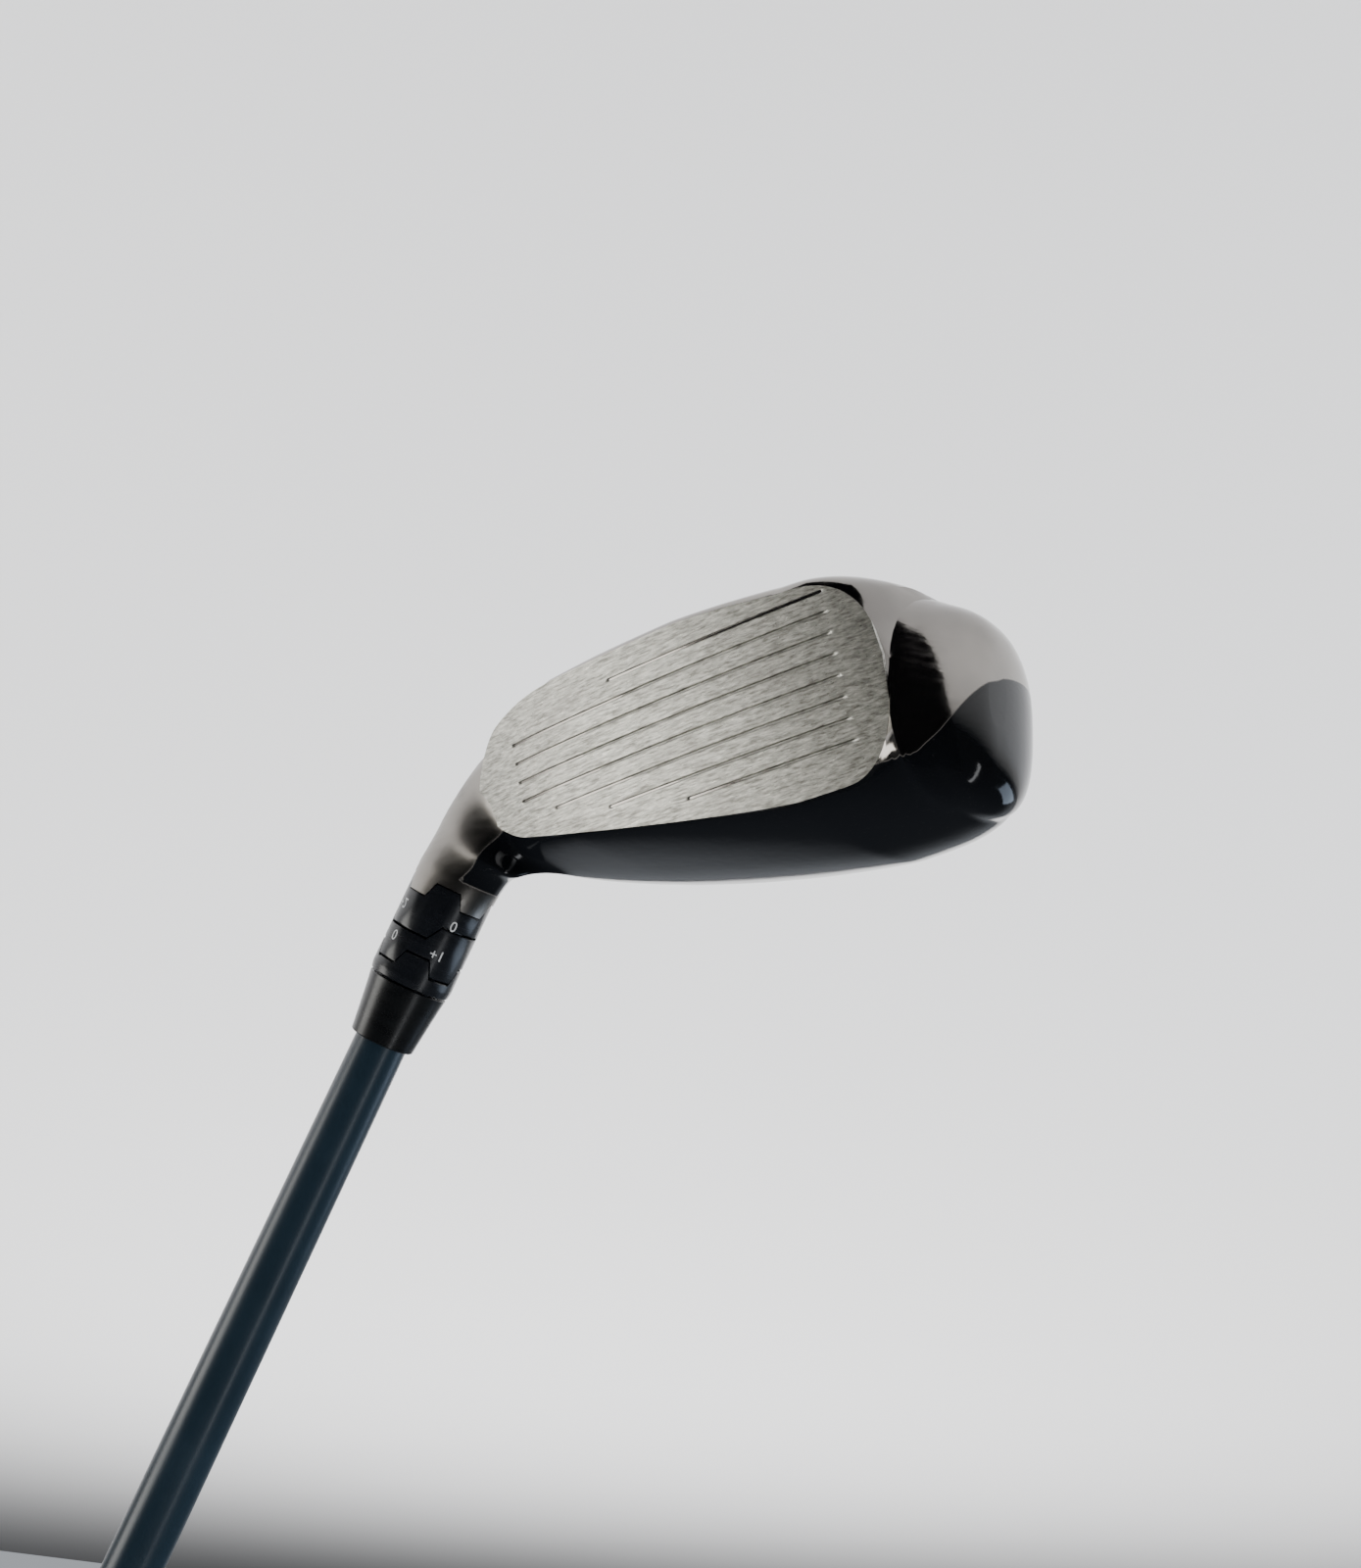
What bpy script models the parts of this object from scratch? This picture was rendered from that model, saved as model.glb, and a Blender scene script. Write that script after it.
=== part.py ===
"""Hybrid golf club with an adjustable hosel, at address: sole on the ground, face towards -Y.

The toe points to -X and the grip rises towards +X. The origin is where the hands hold the grip.
Lengths in the constants are millimetres; meshes are made in metres. A station "s" is the
distance along the shaft axis from the ground, and (u, v) are distances on the face: u towards
the toe and v up the face from the ground.
"""

import math

import bmesh
import bpy
from mathutils import Matrix, Vector

MM = 0.001

# Driving dimensions of the club
LIE = math.radians(58.6)  # shaft axis above the ground
LOFT = math.radians(22.1)  # face leaned back from upright
HOLD = 866.0  # the hands' place along the shaft axis
AXIS_X, AXIS_Y, AXIS_Z = -HOLD * math.cos(LIE), 0.0, -HOLD * math.sin(LIE)  # foot of the axis
FACE_SETBACK = 13.5  # leading plane of the face in front of the shaft axis
FACE_BULGE = 0.0017  # set-back of the face per square millimetre from its centre
FACE_CENTRE = (30.0, 18.0)
GAP = 0.3  # clearance between neighbouring pieces

# Face outline
FACE_TOE_U, FACE_TOE_V = 82.8, 20.0
TOP_LEVEL_U, TOP_CORNER_U, TOP_V = 64.3, 72.0, 36.95
LEADING_V, LEADING_HEEL_U, LEADING_TOE_U, LOW_CORNER_U = 3.6, 21.9, 46.2, 68.0
FACE_PLATE_HEEL_U = 2.0

# Head body
TOE_U = 91.6
TOE_POLE_Z, TOE_POLE_DEPTH = 20.0, 11.0
BACK_Y, BACK_Z, WIDEST_U = 37.4, 18.0, 56.0
HEEL_SPAN, HEEL_ROUND, TOE_ROUND = 66.0, 2.1, 2.7
CREST_RISE, CREST_DEPTH, CROWN_ROUND = 1.0, 12.6, 2.8
SOLE_DROP, SOLE_DEPTH, SOLE_ROUND = 4.0, 13.0, 2.4
SOLE_CAP_U, SOLE_CAP_ROUND = 52.0, 4.0
CROWN_CAP_U, CROWN_CAP_ROUND = 83.0, 3.4
WALL = 2.4
CAVITY_HEEL_U, CAVITY_TOE_INSET = 10.0, 3.0

# Fan of sections that turns the head into the hosel
PIVOT_X, PIVOT_Z = -1.3, 32.5
BLEND_START, BLEND_END = math.radians(2), math.radians(44)
FACE_BLEND_START = math.radians(4)  # the flat of the face runs on further into the neck
NECK_FILL, NECK_END_FILL = 4.2, 2.3  # the crown fills the corner between head and hosel

# Crown joint
JOINT_LOW_Z, JOINT_FADE, JOINT_LIP = 13.0, 9.3, 2.0
CROWN_HEEL_U, CROWN_ROOF_Z = 0.5, 60.0

# Hosel, adapter and shaft: radii, and stations along the axis
HOSEL_R, HOSEL_BORE_R = 7.45, 5.7
HOSEL_END, BORE_BOTTOM, SEAT = 34.6, 11.0, 7.0
TAB_CENTRE, TAB_HEIGHT, TAB_HALF_TOP, TAB_HALF_BASE = 37.5, 2.8, 17.5, 27.0
LOBE_CENTRE, LOBE_HEIGHT, LOBE_HALF_TOP, LOBE_HALF_BASE = -17.0, 2.8, 40.0, 54.0
COG_JOINT, COLLAR_START, FERRULE_START, FERRULE_END = 41.2, 47.3, 50.3, 61.4
COG_BORE_R, COG_R, FERRULE_END_R = 5.7, 7.4, 5.8
SLEEVE_R, SLEEVE_BORE_R, SLEEVE_TIP = 5.4, 5.0, 13.0
SHAFT_TIP, SHAFT_TIP_R, SHAFT_BUTT_R, SHAFT_BUTT = 25.0, 4.7, 7.6, 994.0
TAPER_START, TAPER_END, SHAFT_WALL = 61.4, 750.0, 0.6
GRIP_START, GRIP_END, GRIP_MOUTH_R, GRIP_BUTT_R = 732.0, 1000.0, 10.0, 13.4

# Rear weight, in the sole
WEIGHT_U, WEIGHT_Y, WEIGHT_R, WEIGHT_TOP = 45.0, 18.0, 6.0, 8.0
PORT_R = 7.6

FINISHES = {
    "polished_steel": ((0.62, 0.60, 0.57), 0.22, 1.0),
    "brushed_steel": ((0.50, 0.48, 0.44), 0.42, 1.0),
    "black_lacquer": ((0.012, 0.013, 0.016), 0.12, 0.0),
    "dark_anodised": ((0.05, 0.055, 0.065), 0.38, 0.8),
    "black_plastic": ((0.02, 0.021, 0.023), 0.35, 0.0),
    "shaft_lacquer": ((0.035, 0.04, 0.05), 0.28, 0.3),
    "dark_steel": ((0.22, 0.22, 0.23), 0.35, 1.0),
    "rubber": ((0.02, 0.02, 0.02), 0.8, 0.0),
    "tape": ((0.75, 0.72, 0.62), 0.85, 0.0),
    "tungsten": ((0.34, 0.34, 0.36), 0.45, 1.0),
}


# ---------------------------------------------------------------- scene helpers


def clear_scene():
    for old in list(bpy.data.objects):
        bpy.data.objects.remove(old, do_unlink=True)


def finish(name):
    """The named material, made once."""
    if name in bpy.data.materials:
        return bpy.data.materials[name]
    colour, roughness, metallic = FINISHES[name]
    material = bpy.data.materials.new(name)
    material.use_nodes = True
    shader = material.node_tree.nodes["Principled BSDF"]
    shader.inputs["Base Color"].default_value = (*colour, 1.0)
    shader.inputs["Roughness"].default_value = roughness
    shader.inputs["Metallic"].default_value = metallic
    return material


def add_object(name, points, faces, material=None):
    """A closed mesh from points in metres, with its faces turned outwards."""
    mesh = bpy.data.meshes.new(name)
    mesh.from_pydata(points, [], faces)
    work = bmesh.new()
    work.from_mesh(mesh)
    bmesh.ops.remove_doubles(work, verts=work.verts, dist=0.00001)
    bmesh.ops.triangulate(work, faces=work.faces)
    bmesh.ops.recalc_face_normals(work, faces=work.faces)
    if work.calc_volume(signed=True) < 0:
        bmesh.ops.reverse_faces(work, faces=work.faces)
    work.to_mesh(mesh)
    work.free()
    mesh.shade_smooth()
    mesh.set_sharp_from_angle(angle=math.radians(32))
    piece = bpy.data.objects.new(name, mesh)
    bpy.context.scene.collection.objects.link(piece)
    if material:
        mesh.materials.append(finish(material))
    else:
        piece.hide_render = True
        piece.display_type = "WIRE"
    return piece


def cut(piece, cutter, operation="DIFFERENCE"):
    boolean = piece.modifiers.new(f"{operation.lower()}_{cutter.name}", "BOOLEAN")
    boolean.operation = operation
    boolean.solver = "EXACT"
    boolean.object = cutter


# ---------------------------------------------------------------- turned pieces


def axis_frame():
    """Matrix whose Z runs up the shaft axis and whose X points over the crown."""
    up = Vector((math.cos(LIE), 0, math.sin(LIE)))
    over = Vector((-math.sin(LIE), 0, math.cos(LIE)))
    front = up.cross(over)
    turn = Matrix((over, front, up)).transposed().to_4x4()
    return Matrix.Translation((AXIS_X * MM, AXIS_Y * MM, AXIS_Z * MM)) @ turn


def turned(name, profile, material=None, steps=32, angles=None, place=None):
    """Turn a closed (radius, station) outline about the shaft axis, or about `place`.

    The outline may be a function of the angle in degrees. Where it reaches the axis, all its
    points there are one.
    """
    angles = angles or [360.0 * step / steps for step in range(steps)]
    outlines = [profile(a) if callable(profile) else profile for a in angles]
    points, faces = [], []
    for angle, outline in zip(angles, outlines):
        c, s = math.cos(math.radians(angle)), math.sin(math.radians(angle))
        points += [(r * c * MM, r * s * MM, z * MM) for r, z in outline]
    count, rings = len(outlines[0]), len(angles)
    closed = outlines[0][0][0] > 0
    for ring in range(rings):
        here, there = ring * count, (ring + 1) % rings * count
        for k in range(count if closed else count - 1):
            m = (k + 1) % count
            if outlines[0][k][0] == 0:
                faces.append((here + k, here + m, there + m))
            elif outlines[0][m][0] == 0:
                faces.append((here + k, here + m, there + k))
            else:
                faces.append((here + k, here + m, there + m, there + k))
    piece = add_object(name, points, faces, material)
    piece.matrix_world = place or axis_frame()
    return piece


def tab_fraction(angle, centre, spacing, half_top, half_base):
    """1 on a tab's flat end, 0 between tabs, and a straight flank in between."""
    off = abs((angle - centre + spacing / 2) % spacing - spacing / 2)
    return min(1.0, max(0.0, (half_base - off) / (half_base - half_top)))


def four_tabs(angle):
    return tab_fraction(angle, TAB_CENTRE, 90.0, TAB_HALF_TOP, TAB_HALF_BASE)


def two_lobes(angle):
    return tab_fraction(angle, LOBE_CENTRE, 180.0, LOBE_HALF_TOP, LOBE_HALF_BASE)


def tab_angles():
    """Every corner of the tabs and lobes, and points between them."""
    corners = set()
    for quarter in range(4):
        for half in (TAB_HALF_TOP, TAB_HALF_BASE):
            corners |= {(TAB_CENTRE + 90 * quarter + side * half) % 360 for side in (-1, 1)}
    for turn in range(2):
        for half in (LOBE_HALF_TOP, LOBE_HALF_BASE):
            corners |= {(LOBE_CENTRE + 180 * turn + side * half) % 360 for side in (-1, 1)}
    angles = sorted(corners)
    spaced = []
    for here, there in zip(angles, angles[1:] + [angles[0] + 360]):
        parts = max(1, round((there - here) / 11))
        spaced += [here + (there - here) * part / parts for part in range(parts)]
    return spaced


def hosel_joint(angle):
    return HOSEL_END - TAB_HEIGHT * four_tabs(angle)


def cog_joint(angle):
    return COG_JOINT - LOBE_HEIGHT * two_lobes(angle)


def collar_joint(angle):
    return COLLAR_START - TAB_HEIGHT * four_tabs(angle)


def ring_between(lower, upper, inner, outer):
    """Outline of a ring whose ends follow two joints, with half a clearance at each."""

    def outline(angle):
        low, high = lower(angle) + GAP / 2, upper(angle) - GAP / 2
        return [(inner, low), (outer, low), (outer, high), (inner, high)]

    return outline


# ---------------------------------------------------------------- head surface


def top_line(u):
    return TOP_V - 0.0727 * max(TOP_LEVEL_U - u, 0) ** 1.21


def leading_line(u):
    heel = 0.0014 * max(LEADING_HEEL_U - u, 0) ** 2.6
    toe = 0.021 * max(u - LEADING_TOE_U, 0) ** 1.51
    return LEADING_V + heel + toe


def rounded(fraction, power):
    """Superellipse quarter: 1 at fraction 0, 0 at fraction 1."""
    fraction = min(max(fraction, 0.0), 1.0)
    return (1 - fraction**power) ** (1 / power)


def face_top(u):
    if u <= TOP_CORNER_U:
        return top_line(u)
    share = (u - TOP_CORNER_U) / (FACE_TOE_U - TOP_CORNER_U)
    return FACE_TOE_V + (TOP_V - FACE_TOE_V) * rounded(share, 2.2)


def face_bottom(u):
    if u <= LOW_CORNER_U:
        return leading_line(u)
    share = (u - LOW_CORNER_U) / (FACE_TOE_U - LOW_CORNER_U)
    return FACE_TOE_V - (FACE_TOE_V - leading_line(LOW_CORNER_U)) * rounded(share, 2.4)


def bulge(u, v):
    """How far the rounded face lies behind its leading plane."""
    return FACE_BULGE * ((u - FACE_CENTRE[0]) ** 2 + (v - FACE_CENTRE[1]) ** 2)


def face_z(u, v):
    """Height of the point (u, v) of the rounded face."""
    return v * math.cos(LOFT) - bulge(u, v) * math.sin(LOFT)


def face_y(u, z):
    """Y of the rounded face at height z, measured from the shaft axis."""
    return -FACE_SETBACK + z * math.tan(LOFT) + bulge(u, z / math.cos(LOFT)) / math.cos(LOFT)


def mix(a, b, share):
    return a + (b - a) * share


def section_corners(u):
    """Five corners of the upright section at u: leading edge, top edge, crest, back, sole."""
    cos_loft = math.cos(LOFT)
    sole_cap = rounded((u - SOLE_CAP_U) / (TOE_U - SOLE_CAP_U), SOLE_CAP_ROUND)
    crown_cap = rounded((u - CROWN_CAP_U) / (TOE_U - CROWN_CAP_U), CROWN_CAP_ROUND)
    crest_z = top_line(min(u, TOP_CORNER_U)) * cos_loft + CREST_RISE
    crest_z = mix(TOE_POLE_Z, crest_z, crown_cap)
    drop = SOLE_DROP * min(max(0.35 + u / 46, 0.35), 1.0)
    sole_z = leading_line(min(u, SOLE_CAP_U)) * cos_loft - drop
    sole_z = mix(TOE_POLE_Z, sole_z, sole_cap)
    pole_y = face_y(u, TOE_POLE_Z) + TOE_POLE_DEPTH
    if u > WIDEST_U:
        share = (u - WIDEST_U) / (TOE_U - WIDEST_U)
        back_y = mix(pole_y, BACK_Y, rounded(share, TOE_ROUND))
        back_z = mix(TOE_POLE_Z, BACK_Z, rounded(share, 3.0))
    else:
        back_y = BACK_Y * rounded((WIDEST_U - u) / HEEL_SPAN, HEEL_ROUND)
        back_z = BACK_Z
    if u < FACE_TOE_U:
        low_z, top_z = face_z(u, face_bottom(u)), face_z(u, face_top(u))
        leading, top = (face_y(u, low_z), low_z), (face_y(u, top_z), top_z)
    else:
        share = (u - FACE_TOE_U) / (TOE_U - FACE_TOE_U)
        edge_y = face_y(u, TOE_POLE_Z) + TOE_POLE_DEPTH * (1 - math.sqrt(max(1 - share, 0)))
        edge_z = mix(face_z(FACE_TOE_U, FACE_TOE_V), TOE_POLE_Z, share)
        leading, top = (edge_y, edge_z - 0.02), (edge_y, edge_z + 0.02)
    crest_z = max(crest_z, top[1] + 0.3 * crown_cap)
    sole_z = min(sole_z, leading[1] - 0.3 * sole_cap)
    crest = (top[0] + min(CREST_DEPTH, 0.45 * (back_y - top[0])), crest_z)
    sole = (leading[0] + min(SOLE_DEPTH, 0.45 * (back_y - leading[0])), sole_z)
    back_z = min(max(back_z, sole_z + 0.2), crest_z - 0.2)
    return leading, top, crest, (back_y, back_z), sole


def arc(start, end, power, count, upright_first):
    """Quarter of a superellipse, without its last point."""
    points = []
    for k in range(count):
        angle = math.pi / 2 * k / count
        c, s = math.cos(angle) ** (2 / power), math.sin(angle) ** (2 / power)
        if upright_first:
            points.append((mix(end[0], start[0], c), mix(start[1], end[1], s)))
        else:
            points.append((mix(start[0], end[0], s), mix(end[1], start[1], c)))
    return points


def section_outline(corners, counts):
    leading, top, crest, back, sole = corners
    on_face, on_lip, on_crown, on_skirt, on_sole = counts
    face = [
        (mix(leading[0], top[0], k / on_face), mix(leading[1], top[1], k / on_face))
        for k in range(on_face)
    ]
    return (
        face
        + arc(top, crest, 2.0, on_lip, True)
        + arc(crest, back, CROWN_ROUND, on_crown, False)
        + arc(back, sole, SOLE_ROUND, on_skirt, True)
        + arc(sole, leading, 2.0, on_sole, False)
    )


def upright_outline(u, counts):
    """Section at u, with the sole worn flat where it would pass the ground."""
    return [(y, max(z, 0.0)) for y, z in section_outline(section_corners(u), counts)]


def hosel_outline(counts, middle, inner, outer):
    """The hosel's section in a tilted plane, with points between the same five corners."""
    turns = (225, 135, 90, 0, -90, -135)
    points = []
    for count, start, end in zip(counts, turns, turns[1:]):
        for k in range(count):
            angle = math.radians(mix(start, end, k / count))
            side = math.sin(angle)
            reach = middle - side * (middle - inner if side > 0 else outer - middle)
            points.append((HOSEL_R * math.cos(angle), reach))
    return points


def meet_line(line, tilt, reach):
    """Distance from the fan's pivot at which a line on the face crosses the tilted section."""
    for _ in range(30):
        u = -(PIVOT_X + reach * math.sin(tilt))
        z = face_z(u, line(u))
        reach = mix(reach, (PIVOT_Z - z) / max(math.cos(tilt), 0.3), 0.5)
    return reach


def blend_share(tilt, front):
    """How far a section has turned from head to hosel; `front` is 1 on the face, 0 behind it."""
    start = mix(BLEND_START, FACE_BLEND_START, front)
    share = min(max((tilt - start) / (BLEND_END - start), 0), 1)
    return share * share * (3 - 2 * share)


def face_weights(counts):
    """1 on the face, easing to 0 over the lip and back to 1 over the sole."""
    on_face, on_lip, on_crown, on_skirt, on_sole = counts
    lip = [1 - k / on_lip for k in range(on_lip)]
    sole = [k / on_sole for k in range(on_sole)]
    return [1.0] * on_face + lip + [0.0] * (on_crown + on_skirt) + sole


def fan_section(tilt, counts):
    """Section in a plane turned about the pivot, as (y, distance from the pivot) points."""
    centre = PIVOT_Z * math.cos(LIE) - PIVOT_X * math.sin(LIE)
    stretch = 1 / math.cos(LIE - tilt)
    _, _, crest0, back0, sole0 = section_corners(-PIVOT_X)
    share = blend_share(tilt, 0.0)
    ease = (tilt / LIE) ** 2 * (3 - 2 * tilt / LIE)
    reach_top, reach_low = meet_line(face_top, tilt, 9.0), meet_line(face_bottom, tilt, 26.0)

    def face_point(reach):
        u = -(PIVOT_X + reach * math.sin(tilt))
        return (face_y(u, PIVOT_Z - reach * math.cos(tilt)), reach)

    crest = (
        mix(crest0[0], 0, ease),
        min(mix(PIVOT_Z - crest0[1], centre - HOSEL_R, ease), reach_top - 0.3 * (1 - share)),
    )
    back = (mix(back0[0], HOSEL_R, ease**0.7), mix(PIVOT_Z - back0[1], centre, ease))
    sole_reach = min(PIVOT_Z - sole0[1], (centre + HOSEL_R) * stretch)
    sole = (mix(sole0[0], 0, ease), max(sole_reach, reach_low + 0.3))
    corners = (face_point(reach_low), face_point(reach_top), crest, back, sole)
    body = section_outline(corners, counts)
    fill = NECK_FILL * math.sin(math.pi * tilt / LIE) + NECK_END_FILL * ease
    inner = mix(PIVOT_Z - crest0[1], centre - HOSEL_R, ease) - fill
    circle = hosel_outline(counts, centre * stretch, inner, (centre + HOSEL_R) * stretch)
    shares = [blend_share(tilt, front) for front in face_weights(counts)]
    return [
        (mix(b[0], c[0], part), mix(b[1], c[1], part))
        for b, c, part in zip(body, circle, shares)
    ]


def place_head(points):
    """From millimetres about the shaft axis's foot to metres about the club's origin."""
    return [((x + AXIS_X) * MM, (y + AXIS_Y) * MM, (z + AXIS_Z) * MM) for x, y, z in points]


def skin(rings):
    """Faces that join equal rings of points, with both ends closed."""
    count = len(rings[0])
    faces = [tuple(range(count)), tuple((len(rings) - 1) * count + k for k in range(count))]
    for ring in range(len(rings) - 1):
        for k in range(count):
            m = (k + 1) % count
            here, there = ring * count, (ring + 1) * count
            faces.append((here + k, here + m, there + m, there + k))
    return [point for ring in rings for point in ring], faces


def head_rings(counts, uprights, fans, straights):
    """Rings of the outer surface, from the toe's end to the hosel's end."""
    rings = []
    for k in range(uprights):
        share = k / (uprights - 1)
        u = TOE_U - 0.05 - (TOE_U + PIVOT_X) * (1 - math.cos(share * math.pi / 2))
        rings.append([(-u, y, z) for y, z in upright_outline(u, counts)])
    for k in range(1, fans + 1):
        tilt = LIE * k / fans
        across, down = math.sin(tilt), -math.cos(tilt)
        outline = fan_section(tilt, counts)
        rings.append([(PIVOT_X + r * across, y, PIVOT_Z + r * down) for y, r in outline])
    start = PIVOT_X * math.cos(LIE) + PIVOT_Z * math.sin(LIE)
    centre = PIVOT_Z * math.cos(LIE) - PIVOT_X * math.sin(LIE)
    for k in range(1, straights + 1):
        fill = NECK_END_FILL * (1 - k / straights) ** 2
        step = (HOSEL_END + 1.0 - start) * k / straights
        foot = (PIVOT_X + step * math.cos(LIE), PIVOT_Z + step * math.sin(LIE))
        outline = hosel_outline(counts, centre, centre - HOSEL_R - fill, centre + HOSEL_R)
        rings.append([(foot[0] + r * across, y, foot[1] + r * down) for y, r in outline])
    return rings


def cavity_rings(counts, uprights):
    """Rings of the hollow: the upright sections drawn in by the wall's thickness."""
    rings = []
    first = TOE_U - CAVITY_TOE_INSET
    for k in range(uprights):
        u = mix(first, CAVITY_HEEL_U, k / (uprights - 1))
        outline = section_outline(section_corners(u), counts)
        mid_y = sum(y for y, _ in outline) / len(outline)
        mid_z = sum(z for _, z in outline) / len(outline)
        ring = []
        for y, z in outline:
            out = math.hypot(y - mid_y, z - mid_z)
            keep = max(1 - WALL * 1.15 / out, 0.3)
            ring.append((-u, mid_y + (y - mid_y) * keep, mid_z + (z - mid_z) * keep))
        rings.append(ring)
    return rings


def face_outline(inset):
    """Face outline on (u, v), drawn in by `inset`, from the heel round by the top."""
    heel_u, toe_u = FACE_PLATE_HEEL_U + inset, FACE_TOE_U - inset
    middle = 40.0
    top, low = [], []
    steps = 22
    for k in range(steps + 1):
        share = k / steps
        u = heel_u + (toe_u - heel_u) * math.sin(share * math.pi / 2)
        scaled = middle + (u - middle) * (FACE_TOE_U / toe_u if u > middle else 1.0)
        scaled = min(scaled, FACE_TOE_U)
        top.append((u, max(face_top(scaled) - inset, FACE_TOE_V * 0.95)))
        low.append((u, min(face_bottom(scaled) + inset, FACE_TOE_V * 0.95)))
    return top + low[::-1]


def face_block(name, inset, front, back, material=None):
    """Slab behind the face: its outline, from depth `front` to depth `back` along Y."""
    rings = []
    for depth in (front, back):
        ring = []
        for u, v in face_outline(inset):
            z = face_z(u, v)
            ring.append((-u, face_y(u, z) + depth, z))
        rings.append(place_head(ring))
    points, faces = skin(rings)
    return add_object(name, points, faces, material)


def joint_height(u, depth):
    """Height of the crown's lower edge at a depth behind the face."""
    edge_u = min(u, TOP_CORNER_U)
    top_z = face_z(edge_u, top_line(edge_u)) - JOINT_LIP
    return JOINT_LOW_Z + (top_z - JOINT_LOW_Z) * math.exp(-max(depth, 0) / JOINT_FADE)


def crown_block(name, grow):
    """Everything over the crown's joint, widened by `grow`."""
    depths = (-8, 0, 2.5, 5, 8, 12, 17, 24, 34, 60)
    rings = []
    for u in (CROWN_HEEL_U - grow, 8, 20, 32, 44, 56, 66, 75, 83, 90, 97):
        lower, upper = [], []
        for depth in depths:
            z = joint_height(u, depth) - grow
            lower.append((-u, face_y(u, z) + depth, z))
            upper.append((-u, face_y(u, CROWN_ROOF_Z) + depth, CROWN_ROOF_Z))
        rings.append(place_head(lower + upper[::-1]))
    points, faces = skin(rings)
    return add_object(name, points, faces)


# ---------------------------------------------------------------- pieces


def make_head():
    counts = (4, 3, 8, 6, 3)
    outer_points, outer_faces = skin([place_head(r) for r in head_rings(counts, 24, 9, 4)])
    cavity_points, cavity_faces = skin([place_head(r) for r in cavity_rings(counts, 14)])
    cavity = add_object("cavity_cutter", cavity_points, cavity_faces)
    seat = face_block("face_seat_cutter", 1.2, -4.0, 2.7)
    window = face_block("face_window_cutter", 3.8, -5.0, 9.0)

    body = add_object("head_body", outer_points, outer_faces, "polished_steel")
    crown = add_object("crown", outer_points, outer_faces, "black_lacquer")
    cut(crown, crown_block("crown_keeper", 0.0), "INTERSECT")
    cut(body, crown_block("crown_cutter", GAP))
    for piece in (body, crown):
        cut(piece, seat)
        cut(piece, window)

    bore = [
        (0, -8), (4.4, -8), (4.4, SEAT), (2.6, SEAT), (2.6, BORE_BOTTOM),
        (HOSEL_BORE_R, BORE_BOTTOM), (HOSEL_BORE_R, HOSEL_END + 4), (0, HOSEL_END + 4),
    ]
    cut(body, turned("bore_cutter", bore, steps=24))

    def over_hosel(angle):
        low = hosel_joint(angle)
        return [(4.5, low), (9.5, low), (9.5, HOSEL_END + 3), (4.5, HOSEL_END + 3)]

    cut(body, turned("notch_cutter", over_hosel, angles=tab_angles()))
    port_seat = PORT_R + GAP
    weight_seat = [(0, -3), (port_seat, -3), (port_seat, WEIGHT_TOP + 3), (0, WEIGHT_TOP + 3)]
    cut(body, turned("weight_cutter", weight_seat, steps=24, place=weight_place()))
    for piece in (body, crown):
        cut(piece, cavity)
    face_block("face_plate", 1.5, 0.0, 2.4, "brushed_steel")


def weight_place():
    foot = (AXIS_X - WEIGHT_U, AXIS_Y + WEIGHT_Y, AXIS_Z)
    return Matrix.Translation(Vector(foot) * MM)


def make_weight():
    """Weight screw in the sole with a hexagonal drive, its threaded port and its seal."""
    low = 2.4

    def body(angle):
        drive = 1.9 * math.cos(math.pi / 6) / math.cos(math.radians(angle % 60 - 30))
        return [
            (0, low + 2.5), (drive, low + 2.5), (drive, low), (WEIGHT_R - 0.5, low),
            (WEIGHT_R, low + 0.5), (WEIGHT_R, WEIGHT_TOP - 1.2), (0, WEIGHT_TOP - 1.2),
        ]

    turned("weight_screw", body, "tungsten", steps=24, place=weight_place())
    seal = [
        (3.6, WEIGHT_TOP - 0.9), (WEIGHT_R - 0.2, WEIGHT_TOP - 0.9),
        (WEIGHT_R - 0.2, WEIGHT_TOP), (3.6, WEIGHT_TOP),
    ]
    turned("weight_seal", seal, "rubber", steps=24, place=weight_place())
    port = [
        (0, WEIGHT_TOP + GAP), (WEIGHT_R + GAP, WEIGHT_TOP + GAP), (WEIGHT_R + GAP, 1.4),
        (PORT_R, 1.4), (PORT_R, WEIGHT_TOP + 1.6), (0, WEIGHT_TOP + 1.6),
    ]
    turned("weight_port", port, "dark_steel", steps=24, place=weight_place())


def make_screw():
    """Captive screw under the hosel, with a hexagonal drive, its washer and its clip."""
    low, neck, end = 3.0, 5.9, 24.0

    def screw(angle):
        drive = 1.8 * math.cos(math.pi / 6) / math.cos(math.radians(angle % 60 - 30))
        return [
            (0, low + 1.8), (drive, low + 1.8), (drive, low), (3.6, low), (3.9, low + 0.4),
            (3.9, neck), (2.2, neck), (2.2, end - 0.8), (1.5, end), (0, end),
        ]

    turned("hosel_screw", screw, "dark_steel", steps=24)
    washer = [(2.5, 6.2), (4.1, 6.2), (4.1, 6.7), (2.5, 6.7)]
    turned("screw_washer", washer, "dark_steel", steps=24)
    clip = [(2.5, 11.3), (4.9, 11.3), (4.9, 12.3), (2.5, 12.3)]
    turned("screw_retainer", clip, "rubber", steps=24)


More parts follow.
